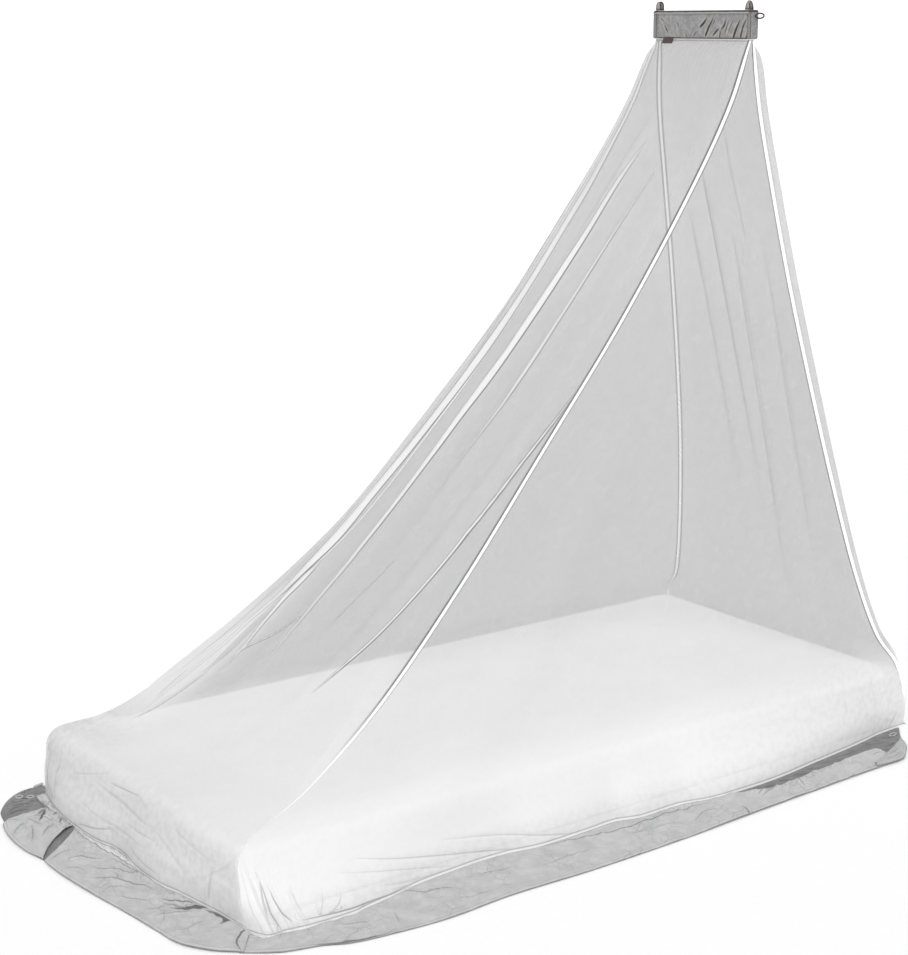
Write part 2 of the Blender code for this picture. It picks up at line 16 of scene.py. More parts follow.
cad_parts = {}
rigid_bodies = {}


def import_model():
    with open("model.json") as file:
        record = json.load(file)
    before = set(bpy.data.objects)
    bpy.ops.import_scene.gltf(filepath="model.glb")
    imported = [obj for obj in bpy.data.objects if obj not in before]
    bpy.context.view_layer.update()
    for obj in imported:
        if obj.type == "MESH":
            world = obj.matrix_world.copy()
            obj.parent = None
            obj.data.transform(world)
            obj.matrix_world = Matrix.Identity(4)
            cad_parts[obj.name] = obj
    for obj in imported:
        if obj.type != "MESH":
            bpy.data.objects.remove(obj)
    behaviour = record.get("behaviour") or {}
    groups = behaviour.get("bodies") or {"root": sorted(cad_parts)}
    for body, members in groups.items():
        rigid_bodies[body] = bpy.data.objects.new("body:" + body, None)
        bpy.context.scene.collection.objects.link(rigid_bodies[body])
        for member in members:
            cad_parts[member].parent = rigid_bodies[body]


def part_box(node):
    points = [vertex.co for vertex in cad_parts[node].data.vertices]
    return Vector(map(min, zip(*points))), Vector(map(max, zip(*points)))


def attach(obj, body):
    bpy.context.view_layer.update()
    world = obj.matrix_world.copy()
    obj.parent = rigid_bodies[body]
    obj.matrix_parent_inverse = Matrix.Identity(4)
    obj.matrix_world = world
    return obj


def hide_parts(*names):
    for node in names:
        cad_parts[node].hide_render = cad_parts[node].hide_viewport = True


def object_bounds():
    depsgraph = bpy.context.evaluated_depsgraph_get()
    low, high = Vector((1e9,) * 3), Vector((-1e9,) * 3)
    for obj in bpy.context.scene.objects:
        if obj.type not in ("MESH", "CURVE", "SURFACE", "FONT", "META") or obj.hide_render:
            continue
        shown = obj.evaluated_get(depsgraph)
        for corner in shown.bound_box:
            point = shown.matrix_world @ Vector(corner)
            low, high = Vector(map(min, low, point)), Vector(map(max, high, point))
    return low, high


bl_info = {
    "name": "Net canopy looks",
    "version": (1, 0, 0),
    "blender": (4, 5, 0),
    "location": "3D View > Sidebar > Net canopy",
    "description": "Makes the cloth, heading, trim and stage of a net canopy around its packed model",
    "category": "Object",
}

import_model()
CAD_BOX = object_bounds()
BODY = "root"
MATTRESS_LOW, MATTRESS_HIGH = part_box("mattress")
POUCH_LOW, POUCH_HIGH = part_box("pouch")

MM = 0.001
SAME_PLACE = 1e-5


def srgb(code):
    """A hex colour as four linear values."""
    values = [int(code[k : k + 2], 16) / 255 for k in (1, 3, 5)]
    linear = [v / 12.92 if v <= 0.04045 else ((v + 0.055) / 1.055) ** 2.4 for v in values]
    return (*linear, 1.0)


# Settings --------------------------------------------------------------------------------------------------


def colour(name, description, code):
    return bpy.props.FloatVectorProperty(
        name=name, description=description, subtype="COLOR", size=4, min=0, max=1, default=srgb(code)
    )


def length(name, description, metres):
    return bpy.props.FloatProperty(
        name=name, description=description, default=metres, min=0, subtype="DISTANCE", unit="LENGTH"
    )


def share_of(name, description, value):
    return bpy.props.FloatProperty(
        name=name, description=description, default=value, min=0, max=1, subtype="FACTOR"
    )


class CanopyClothSettings(bpy.types.PropertyGroup):
    """Sizes and colours of the net, its tapes, the skirt and the mattress."""

    net_colour: colour("Net", "Thread colour of the net", "#a5a5a5")
    # Painted light: the net is drawn lighter where the bright bed shows close behind it.
    net_painted_bed_light: colour("Net by the bed", "Colour of the net where it hangs close over the bed", "#c4c4c4")
    net_doubled: colour("Doubled net", "Colour of the net where it lies double in a pleat or hem", "#d4d4d4")
    net_gathered: colour("Gathered net", "Colour of the net where it is gathered thick", "#dedede")
    # Painted shade: the colour of the thin dark line along a fold, beside a tape and above the hem.
    net_shade_line: colour("Fold line", "Colour of the thin dark line along a fold or a tape", "#5c5c5c")
    foot_shade: share_of("Foot shade", "How dark the gathered net is across the foot of the bed", 0.21)
    net_cover: share_of("Net cover", "How much of the view the net's threads cover", 0.48)
    thin_cover: share_of("Thin cover", "How much of the view the net covers where it is stretched thin", 0.34)
    gathered_cover: share_of("Gathered cover", "How much of the view the gathered net covers", 0.90)
    net_pitch: length("Net mesh", "Distance between the net's threads, as drawn", 6.0 * MM)
    tape_colour: colour("Tape", "Colour of the seam tapes", "#f1f1f0")
    tape_thick: length("Tape thickness", "Thickness of a seam tape", 1.0 * MM)
    skirt_colour: colour("Skirt", "Colour of the light skirt", "#b4b4b5")
    # Painted shade: the dark corner pieces stand in for the shade in the gaps at the corners.
    corner_shade_colour: colour("Corners", "Colour of the dark corner pieces", "#747474")
    skirt_thick: length("Skirt thickness", "Thickness of the skirt", 0.8 * MM)
    sheet_colour: colour("Fitted sheet", "Colour of the mattress's fitted sheet", "#e8e8e8")


class CanopyHeadingSettings(bpy.types.PropertyGroup):
    """Sizes and colours of the pouch and its trim."""

    pouch_colour: colour("Pouch", "Colour of the padded pouch", "#979696")
    trim_and_shade_colour: colour("Trim", "Colour of the piping, webbing, tab and ring", "#463a3a")
    # Also the colour of the painted shade in the pouch's creases.
    webbing_colour: colour("Webbing", "Colour of the hanging loops' middle", "#a39e9e")
    pale_colour: colour("Peg rings", "Colour of the small rings, toggle and loop on the corners", "#aeaeae")


class CanopyStageSettings(bpy.types.PropertyGroup):
    """The floor, the lights and the camera."""

    floor_colour: colour("Floor", "Colour of the pale floor and backdrop", "#ececec")
    sky_strength: bpy.props.FloatProperty(
        name="Soft light", description="Strength of the even light from all round", default=0.78, min=0
    )
    key_strength: bpy.props.FloatProperty(
        name="Key light", description="Strength of the soft key light", default=2.0, min=0
    )
    key_spread: bpy.props.FloatProperty(
        name="Key spread", description="Angle that the key light fills", default=radians(50), subtype="ANGLE"
    )
    lens: bpy.props.FloatProperty(
        name="Lens", description="Focal length", default=73.41, min=1, subtype="DISTANCE_CAMERA"
    )


# Where things are ------------------------------------------------------------------------------------------


def at(along, across, height):
    """A point of the model from its place on the mattress and its height above the floor."""
    return Vector((MATTRESS_LOW.x + along, across, MATTRESS_LOW.z + height))


def read(rows, share):
    """The columns after the first at a share, on a smooth curve through rows that start with their share."""
    last = len(rows) - 2
    first = min(max(sum(row[0] <= share for row in rows) - 1, 0), last)
    start, end = rows[first], rows[first + 1]
    before, after = rows[max(first - 1, 0)], rows[min(first + 2, last + 1)]
    span = end[0] - start[0]
    t = min(max((share - start[0]) / span, 0), 1)
    values = []
    for k in range(1, len(start)):
        leave = (end[k] - before[k]) / (end[0] - before[0]) * span
        reach = (after[k] - start[k]) / (after[0] - start[0]) * span
        values.append(
            start[k] * (2 * t**3 - 3 * t**2 + 1)
            + leave * (t**3 - 2 * t**2 + t)
            + end[k] * (3 * t**2 - 2 * t**3)
            + reach * (t**3 - t**2)
        )
    return values


def ease(start, stop, value):
    """0 up to start, 1 from stop on, and a soft step between, for a number or an array."""
    t = np.clip((value - start) / (stop - start), 0, 1)
    return t * t * (3 - 2 * t)


def bump(value, width):
    """1 at zero, falling away on both sides, for a number or an array."""
    return np.exp(-((value / width) ** 2))


# Meshes and objects ----------------------------------------------------------------------------------------


def deselect():
    for item in bpy.context.view_layer.objects:
        item.select_set(False)


def place(piece, nodes, paint):
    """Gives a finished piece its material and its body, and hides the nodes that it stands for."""
    piece.data.materials.clear()
    piece.data.materials.append(paint)
    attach(piece, BODY)
    if nodes:
        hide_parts(*nodes)
    return piece


def new_object(name, mesh):
    piece = bpy.data.objects.new(name, mesh)
    bpy.context.scene.collection.objects.link(piece)
    return piece


def row_lengths(grid):
    """The distance run along each row of a grid of points, from its first point."""
    steps = np.linalg.norm(np.diff(grid, axis=1), axis=2)
    return np.pad(np.cumsum(steps, axis=1), ((0, 0), (1, 0)))


def middle_run(grid):
    """The distance down the middle column at each row."""
    middle = grid.shape[1] // 2
    steps = np.linalg.norm(np.diff(grid[:, middle], axis=0), axis=1)
    return np.pad(np.cumsum(steps), (1, 0))


def cut_plan(grid):
    """Each point's place on the flat cloth, measured across from the middle and down the middle."""
    over = row_lengths(grid)
    across = over - over[:, -1:] / 2
    down = np.repeat(middle_run(grid)[:, None], over.shape[1], axis=1)
    return np.stack((across, down), axis=-1)


def set_mark(mesh, name, values):
    """Stores a value for each point of a mesh, for its material to read."""
    layer = mesh.attributes.new(name, "FLOAT", "POINT")
    layer.data.foreach_set("value", np.ravel(values).astype(np.float32))


def cloth(name, grid, outward, marks=None):
    """One sheet of cloth through a grid of points.

    Each point's place on the flat cloth in metres becomes the UV map "cut". marks gives named values for
    each point.
    """
    down, over = grid.shape[:2]
    numbers = np.arange(down * over).reshape(down, over)
    faces = np.stack((numbers[:-1, :-1], numbers[:-1, 1:], numbers[1:, 1:], numbers[1:, :-1]), axis=-1)
    mesh = bpy.data.meshes.new(name)
    mesh.from_pydata(grid.reshape(-1, 3).tolist(), [], faces.reshape(-1, 4).tolist())
    facing = sum((face.normal * face.area for face in mesh.polygons), Vector())
    if facing.dot(Vector(outward)) < 0:
        mesh.flip_normals()
    corners = np.empty(len(mesh.loops), dtype=np.int32)
    mesh.loops.foreach_get("vertex_index", corners)
    flat = cut_plan(grid).reshape(-1, 2).astype(np.float32)
    cut = mesh.uv_layers.new(name="cut")
    cut.data.foreach_set("uv", flat[corners].ravel())
    for mark_name, values in (marks or {}).items():
        set_mark(mesh, mark_name, values)
    mesh.shade_smooth()
    return new_object(name, mesh)


def thicken(piece, thick, offset=-1):
    """Gives a sheet its thickness, below its faces or evenly about them."""
    deselect()
    bpy.context.view_layer.objects.active = piece
    piece.select_set(True)
    shell = piece.modifiers.new("thickness", "SOLIDIFY")
    shell.thickness = thick
    shell.offset = offset
    bpy.ops.object.modifier_apply(modifier=shell.name)
    return piece


# Pleats and creases ----------------------------------------------------------------------------------------

# A band is one pleat or crease: how plain it shows, how far it stands out of the cloth (or into it, below
# zero), and its points as (first place, second place, half width) in the measures of its surface.
Band = namedtuple("Band", "show relief points")
# The same as a line of points in space.
Line = namedtuple("Line", "show relief path halves")
# What a surface's points are given: their distance from the middle of the nearest line, with a sign for its
# side, that line's half width there, how plain it shows, and how far the lines lift the surface.
LineMarks = namedtuple("LineMarks", "off half show lift")


def smooth_points(points, scale, spacing):
    """Points at even steps on a smooth curve. scale turns their first two values into metres."""
    run = [0.0]
    for first, following in zip(points, points[1:]):
        step_u = (following[0] - first[0]) * scale[0]
        step_v = (following[1] - first[1]) * scale[1]
        run.append(run[-1] + hypot(step_u, step_v))
    rows = [(distance, *point) for distance, point in zip(run, points)]
    count = max(int(run[-1] / spacing), 6)
    return np.array([read(rows, run[-1] * k / count) for k in range(count + 1)])


def flat_lines(bands, spacing, spot):
    """Bands on a flat surface as lines. spot gives the point in space for a band's first two values."""
    lines = []
    for band in bands:
        steps = smooth_points(band.points, (1, 1), spacing)
        path = np.array([spot(first, second) for first, second, _ in steps])
        lines.append(Line(band.show, band.relief, path, np.maximum(steps[:, 2], 0)))
    return lines


def mark_lines(points, normals, lines, cell):
    """The marks of each point of a surface whose faces are about one cell wide.

    Neighbouring lines get opposite signs, so that the distance between them never passes through zero.
    """
    reach = 2.2 * cell
    gap = np.full(len(points), reach)
    off = np.full(len(points), reach)
    half = np.zeros(len(points))
    show = np.zeros(len(points))
    lift = np.zeros(len(points))
    for number, line in enumerate(lines):
        widest = line.halves.max()
        margin = reach + 3 * widest
        near = (points > line.path.min(axis=0) - margin) & (points < line.path.max(axis=0) + margin)
        chosen = np.flatnonzero(near.all(axis=1))
        if not len(chosen):
            continue
        spots = points[chosen]
        best = np.full(len(chosen), np.inf)
        signed = np.zeros(len(chosen))
        width = np.zeros(len(chosen))
        for k in range(len(line.path) - 1):
            ahead = line.path[k + 1] - line.path[k]
            away = spots - line.path[k]
            t = np.clip(away @ ahead / (ahead @ ahead), 0, 1)
            distance = np.linalg.norm(away - t[:, None] * ahead, axis=1)
            closer = distance < best
            side = np.sign(np.einsum("ij,ij->i", np.cross(ahead, away), normals[chosen]))
            best = np.where(closer, distance, best)
            signed = np.where(closer, side * distance, signed)
            width = np.where(closer, line.halves[k] + (line.halves[k + 1] - line.halves[k]) * t, width)
        fade = np.clip(width / (0.75 * widest), 0, 1) ** 0.8
        lift[chosen] += line.relief * fade * bump(best, np.maximum(1.2 * width, 0.6 * cell))
        outside = best - width
        nearer = outside < gap[chosen]
        picked = chosen[nearer]
        gap[picked] = outside[nearer]
        off[picked] = (signed * (1 if number % 2 else -1))[nearer]
        half[picked] = width[nearer]
        plain = line.show * fade * (1 - ease(1.3 * cell, 2.2 * cell, outside))
        show[picked] = plain[nearer]
    return LineMarks(off, half, show, lift)


def line_marks_named(name, marks, shape):
    """One family of line marks under the names that the materials read."""
    return {
        f"{name}_off": marks.off.reshape(shape),
        f"{name}_half": marks.half.reshape(shape),
        f"{name}_show": marks.show.reshape(shape),
    }


# Materials -------------------------------------------------------------------------------------------------


def add(tree, kind, inputs=(), **settings):
    """Adds a node, sets its fields and its sockets, and links the sockets that are given another socket."""
    made = tree.nodes.new(f"ShaderNode{kind}")
    for field, value in settings.items():
        setattr(made, field, value)
    for socket, value in dict(inputs).items():
        if isinstance(value, bpy.types.NodeSocket):
            tree.links.new(value, made.inputs[socket])
        else:
            made.inputs[socket].default_value = value
    return made


def start_material(name, roughness, specular=0.3):
    """A new material's tree and its shader."""
    paint = bpy.data.materials.new(name)
    paint.use_nodes = True
    shader = paint.node_tree.nodes["Principled BSDF"]
    shader.inputs["Roughness"].default_value = roughness
    shader.inputs["Specular IOR Level"].default_value = specular
    return paint, paint.node_tree, shader


def wave_scale(period):
    """Scale at which the wave texture's bands repeat at that period."""
    return 2 * pi / 20 / period


def threads(tree, coordinates, period, rotation):
    """A set of parallel threads: 1 on the thread, 0 between."""
    turned = add(tree, "Mapping", {"Vector": coordinates, "Rotation": rotation})
    bands = add(
        tree,
        "TexWave",
        {"Vector": turned.outputs[0], "Scale": wave_scale(period), "Distortion": 0.0},
        wave_type="BANDS",
        bands_direction="X",
        wave_profile="SIN",
    )
    return bands.outputs["Fac"]


def cloud(tree, coordinates, scale, detail):
    """Soft random patches from 0 to 1."""
    return add(tree, "TexNoise", {"Vector": coordinates, "Scale": scale, "Detail": detail}).outputs["Fac"]


def calculate(tree, operation, first, second=0.0, clamp=False):
    return add(tree, "Math", {0: first, 1: second}, operation=operation, use_clamp=clamp).outputs[0]


def times(tree, first, second):
    return calculate(tree, "MULTIPLY", first, second)


def plus(tree, first, second):
    return calculate(tree, "ADD", first, second)


def larger(tree, first, second):
    return calculate(tree, "MAXIMUM", first, second)


def step(tree, value, low, high):
    """A soft step of a value from 0 at low to 1 at high, or down again where low is the larger."""
    settings = {"From Min": min(low, high), "From Max": max(low, high)}
    ends = (0.0, 1.0) if low < high else (1.0, 0.0)
    settings.update({"To Min": ends[0], "To Max": ends[1], "Value": value})
    return add(tree, "MapRange", settings, interpolation_type="SMOOTHSTEP").outputs[0]


def blend(tree, fac, first, second):
    """One colour turned into another."""
    mixed = add(tree, "Mix", {}, data_type="RGBA")
    for socket, value in ((mixed.inputs[0], fac), (mixed.inputs[6], first), (mixed.inputs[7], second)):
        if isinstance(value, bpy.types.NodeSocket):
            tree.links.new(value, socket)
        else:
            socket.default_value = value
    return mixed.outputs[2]


def mark(tree, name):
    return add(tree, "Attribute", attribute_name=name).outputs["Fac"]


def from_line(tree, name):
    """Distance beyond the edge of the nearest line of one family, below zero inside it."""
    off = calculate(tree, "ABSOLUTE", mark(tree, f"{name}_off"))
    return calculate(tree, "SUBTRACT", off, mark(tree, f"{name}_half"))


def relief(tree, shader, height, distance, strength=1.0):
    made = add(tree, "Bump", {"Height": height, "Distance": distance, "Strength": strength})
    tree.links.new(made.outputs[0], shader.inputs["Normal"])
    return made


def darker(code_colour, factor):
    return (*(channel * factor for channel in code_colour[:3]), 1.0)


def cut_place(tree):
    """A point's place on the flat cloth."""
    return add(tree, "UVMap", uv_map="cut").outputs[0]


def object_place(tree):
    return add(tree, "TexCoord").outputs["Object"]


def line_at(tree, value, target, wide, core):
    """A soft line where a value meets its target: 1 within core of it, and 0 from wide on."""
    return step(tree, calculate(tree, "ABSOLUTE", plus(tree, value, -target)), wide, core)


def on_line(tree, name, soft, core):
    """How plain a line of one family shows: wholly from core inside its edge, not at all soft outside it."""
    return times(tree, step(tree, from_line(tree, name), soft, -core), mark(tree, f"{name}_show"))


def beside_line(tree, name, away, wide, core):
    """How plain a thin line shows that runs beside a line of one family, that far outside its edge."""
    return times(tree, line_at(tree, from_line(tree, name), away, wide, core), mark(tree, f"{name}_show"))


def stitches(tree, run, pitch, gap, soft):
    """A row of stitches along a run: 0 for the gap's share of each pitch, and 1 for the rest."""
    passed = calculate(tree, "FRACT", calculate(tree, "DIVIDE", run, pitch))
    return step(tree, passed, gap, gap + soft)


def facets(tree, coordinates, cell):
    """Distance to the edge of random facets about one cell wide, in cells."""
    settings = {"Vector": coordinates, "Scale": 1 / cell, "Randomness": 1.0}
    made = add(tree, "TexVoronoi", settings, feature="DISTANCE_TO_EDGE", voronoi_dimensions="2D")
    return made.outputs["Distance"]


def plain_weave(tree, coordinates, period):
    """Two sets of threads, square to each other."""
    warp = threads(tree, coordinates, period, (0, 0, 0))
    return plus(tree, warp, threads(tree, coordinates, period, (0, 0, radians(90))))


NET_SLANT = radians(38)  # how far the mesh's threads lean from straight down the cloth

# How much more of the view the net covers along a drawn thread, in a thicker patch, where it lies double and
# in the painted shade line along a fold. What the first two add on average is taken off again.
THREAD_COVER = 0.035
PATCH_COVER = 0.13
DOUBLE_COVER = 0.36
LINE_COVER = 0.42
EXTRA_COVER = 0.08


def netting_material(settings):
    """Warp-knitted polyester mosquito netting: a sheer white haze, whiter and denser where it lies double.

    Its real mesh is 1 to 2 mm, which is finer than the render shows, so it is drawn coarser.
    """
    paint, tree, shader = start_material("warp_knitted_polyester_net", 0.8, 0.1)
    cut = cut_place(tree)
    lattice = larger(
        tree,
        threads(tree, cut, settings.net_pitch, (0, 0, NET_SLANT)),
        threads(tree, cut, settings.net_pitch, (0, 0, -NET_SLANT)),
    )
    mottle = cloud(tree, cut, 26.0, 4.0)
    pleat = on_line(tree, "pleat", 0.9 * MM, 0.9 * MM)
    pleat_shade_line = beside_line(tree, "pleat", 0.6 * MM, 2.0 * MM, 0.5 * MM)
    crease = on_line(tree, "crease", 1.5 * MM, 0.3 * MM)
    from_hem = mark(tree, "hem_height")
    hem = step(tree, from_hem, 5.6 * MM, 4.2 * MM)
    hem_shade_line = line_at(tree, from_hem, 6.8 * MM, 2.0 * MM, 0.8 * MM)
    seam = line_at(tree, mark(tree, "seam_edge"), 0.0, 4.4 * MM, 1.4 * MM)
    seam = times(tree, seam, mark(tree, "tape_shade_show"))
    gathered = mark(tree, "gathered")
    doubled = larger(tree, pleat, times(tree, hem, 0.9))
    # Painted shade: thin dark lines beside each pleat, in each crease, beside each tape and above the hem.
    line = larger(tree, larger(tree, pleat_shade_line, crease), larger(tree, seam, times(tree, hem_shade_line, 0.45)))
    cover = plus(tree, settings.net_cover - EXTRA_COVER, times(tree, lattice, THREAD_COVER))
    cover = plus(tree, cover, times(tree, mottle, PATCH_COVER))
    thinner = times(tree, mark(tree, "thin"), settings.thin_cover - settings.net_cover)
    cover = plus(tree, cover, thinner)
    thicker = calculate(tree, "SUBTRACT", settings.gathered_cover, cover)
    cover = plus(tree, cover, times(tree, gathered, thicker))
    cover = plus(tree, cover, times(tree, doubled, DOUBLE_COVER))
    cover = calculate(tree, "ADD", cover, times(tree, line, LINE_COVER), clamp=True)
    tree.links.new(cover, shader.inputs["Alpha"])
    # Painted light: the net is drawn lighter where it hangs close over the bright bed.
    plain = blend(tree, mark(tree, "clear"), tuple(settings.net_colour), tuple(settings.net_painted_bed_light))
    # Painted shade: the gathered net is drawn darker where it hangs in shade, with blotches of painted
    # crumple shade.
    shaded = darker(settings.net_gathered, 1 - settings.foot_shade)
    thick = blend(tree, mark(tree, "shaded"), tuple(settings.net_gathered), shaded)
    crumpled = step(tree, cloud(tree, cut, 55.0, 5.0), 0.36, 0.60)
    crumpled = times(tree, calculate(tree, "SUBTRACT", 1.0, crumpled), mark(tree, "shaded"))
    thick = blend(tree, times(tree, crumpled, 0.6), thick, darker(settings.net_gathered, 0.68))
    base = blend(tree, gathered, plain, thick)
    base = blend(tree, doubled, base, tuple(settings.net_doubled))
    base = blend(tree, times(tree, hem, 0.4), base, tuple(settings.tape_colour))
    base = blend(tree, times(tree, line, 0.85), base, tuple(settings.net_shade_line))
    tree.links.new(base, shader.inputs["Base Color"])
    relief(tree, shader, lattice, 0.3 * MM, 0.3)
    return paint


TAPE_PAINTED_GLOW = 0.13  # how strongly the tape's painted glow shines
TAPE_RIB = 1.6 * MM
TAPE_STITCH_AT = 3.9 * MM  # from the tape's middle
TAPE_STITCH = 3.2 * MM


def tape_material(settings):
    """Woven polyester seam tape: plain white, with a fine rib across it and a row of stitches by each edge.

    A faint painted glow makes it the whitest piece. Where the net is gathered over it, it shows faintly.
    """
    paint, tree, shader = start_material("woven_polyester_tape", 0.6, 0.25)
    cut = cut_place(tree)
    spot = add(tree, "SeparateXYZ", {0: cut})
    rib = threads(tree, cut, TAPE_RIB, (0, 0, radians(90)))
    from_middle = calculate(tree, "ABSOLUTE", spot.outputs[0])
    row = line_at(tree, from_middle, TAPE_STITCH_AT, 0.6 * MM, 0.2 * MM)
    stitch = times(tree, row, stitches(tree, spot.outputs[1], TAPE_STITCH, 0.30, 0.06))
    white = tuple(settings.tape_colour)
    base = blend(tree, times(tree, rib, 0.2), white, darker(white, 0.88))
    base = blend(tree, times(tree, stitch, 0.45), base, darker(white, 0.66))
    tree.links.new(base, shader.inputs["Base Color"])
    # Painted light: the tape glows faintly, though it is no lamp.
    shader.inputs["Emission Color"].default_value = white
    shader.inputs["Emission Strength"].default_value = TAPE_PAINTED_GLOW
    seen = calculate(tree, "SUBTRACT", 1.0, times(tree, mark(tree, "hidden"), 0.92))
    tree.links.new(seen, shader.inputs["Alpha"])
    height = calculate(tree, "SUBTRACT", rib, times(tree, row, 1.5))
    relief(tree, shader, height, 0.25 * MM, 0.6)
    return paint


# The crumpled facets: how wide they are, and how thin the line between two is.
Facet = namedtuple("Facet", "cell thin")
LARGE_FACET = Facet(55 * MM, 0.020)
SMALL_FACET = Facet(24 * MM, 0.035)
GATHER_CELL = 15 * MM
FACET_RELIEF = 24 * MM  # a facet of this size stands out by one unit of relief
TAFFETA_WEAVE = 2.4 * MM
SKIRT_STITCH_AT = 9 * MM  # from the outer edge


def taffeta_material(name, base_colour, shade_and_stitch_colour, patchy):
    """Coated polyester taffeta: opaque, with a slight sheen and sharp fine creases from being packed."""
    paint, tree, shader = start_material(name, 0.5, 0.3)
    shader.inputs["Sheen Weight"].default_value = 0.12
    shader.inputs["Sheen Roughness"].default_value = 0.4
    cut = cut_place(tree)
    swirl = add(tree, "TexNoise", {"Vector": cut, "Scale": 14.0, "Detail": 2.0}).outputs["Color"]
    shift = add(tree, "VectorMath", {0: swirl, "Scale": 0.05}, operation="SCALE").outputs[0]
    moved = add(tree, "VectorMath", {0: cut, 1: shift}, operation="ADD").outputs[0]
    heights = []
    lines = []
    for facet in (LARGE_FACET, SMALL_FACET):
        from_edge = facets(tree, moved, facet.cell)
        heights.append(times(tree, from_edge, facet.cell / FACET_RELIEF))
        lines.append(step(tree, from_edge, facet.thin * 1.6, facet.thin * 0.3))
    fade = cloud(tree, cut, 6.0, 2.0)
    # Painted shade: thin dark lines along the edges of the crumpled facets, fading in patches.
    fine = larger(tree, lines[0], times(tree, lines[1], 0.6))
    fine = times(tree, fine, step(tree, fade, 0.42, 0.66))
    crinkled = facets(tree, moved, GATHER_CELL)
    # Painted shade in the valleys of the fine gathers.
    gather = times(tree, step(tree, crinkled, 0.13, 0.03), mark(tree, "gather"))
    gather = times(tree, gather, step(tree, cloud(tree, cut, 40.0, 2.0), 0.38, 0.58))
    patches = cloud(tree, cut, 22.0, 4.0)
    base = blend(
        tree,
        step(tree, patches, 0.3, 0.7),
        darker(base_colour, 1 - patchy),
        darker(base_colour, 1 + 0.6 * patchy),
    )
    base = blend(tree, times(tree, fine, 0.40), base, tuple(shade_and_stitch_colour))
    pleat = on_line(tree, "pleat", 0.8 * MM, 0.8 * MM)
    pleat_shade_line = beside_line(tree, "pleat", 1.0 * MM, 2.0 * MM, 0.5 * MM)
    crease = on_line(tree, "crease", 1.7 * MM, 0.3 * MM)
    # Painted highlight: the strips and puckers are drawn lighter where they stand up; at the foot the strip
    # is also a light hem.
    base = blend(tree, times(tree, pleat, 0.9), base, darker(base_colour, 1.30))
    outer = mark(tree, "edge_distance")
    rim = step(tree, outer, 2.6 * MM, 1.2 * MM)
    stitch_row = line_at(tree, outer, SKIRT_STITCH_AT, 1.6 * MM, 0.5 * MM)
    # Painted shade: dark lines beside the strips, in the creases and along the edge by the net.
    by_net = step(tree, mark(tree, "inner_distance"), 7.5 * MM, 4.5 * MM)
    line = larger(tree, larger(tree, times(tree, pleat_shade_line, 0.8), crease), times(tree, by_net, 0.55))
    line = larger(tree, line, larger(tree, times(tree, rim, 0.55), times(tree, stitch_row, 0.2)))
    line = larger(tree, line, times(tree, gather, 0.55))
    base = blend(tree, line, base, tuple(shade_and_stitch_colour))
    tree.links.new(base, shader.inputs["Base Color"])
    height = plus(tree, heights[0], heights[1])
    height = plus(tree, height, times(tree, plain_weave(tree, cut, TAFFETA_WEAVE), 0.03))
    height = calculate(tree, "SUBTRACT", height, times(tree, stitch_row, 0.15))
    height = plus(tree, height, times(tree, times(tree, crinkled, mark(tree, "gather")), 1.2))
    relief(tree, shader, height, 2.2 * MM, 0.6)
    return paint


COTTON_WEAVE = 3.0 * MM


def cotton_material(settings):
    """Percale cotton fitted sheet: matt white, with a plain weave and faint soft wrinkles.

    The real threads are 0.3 mm apart and are drawn at 3 mm, so that the render shows them.
    """
    paint, tree, shader = start_material("woven_cotton_percale", 0.85, 0.12)
    shader.inputs["Sheen Weight"].default_value = 0.1
    where = object_place(tree)
    weave = plain_weave(tree, where, COTTON_WEAVE)
    soft = cloud(tree, where, 7.0, 4.0)
    long_way = add(tree, "Mapping", {"Vector": where, "Scale": (2.0, 14.0, 14.0)}).outputs[0]
    wrinkle = cloud(tree, long_way, 1.6, 5.0)
    white = tuple(settings.sheet_colour)
    base = blend(tree, step(tree, soft, 0.3, 0.7), darker(white, 0.965), white)
    # Painted shade in the sheet's creases and along its top seam.
    base = blend(tree, times(tree, mark(tree, "crease"), 0.6), base, darker(white, 0.72))
    tree.links.new(base, shader.inputs["Base Color"])
    relief(tree, shader, plus(tree, times(tree, weave, 0.02), wrinkle), 3.0 * MM, 0.4)
    return paint


POUCH_WEAVE = 1.6 * MM
POUCH_STITCH = 7.0 * MM
POUCH_STITCH_AT = 157.5 * MM  # from the pouch's middle
POUCH_LIP_HIGHLIGHT_AT = 8.8 * MM  # a painted highlight on the fold under its dark top band, from its top edge


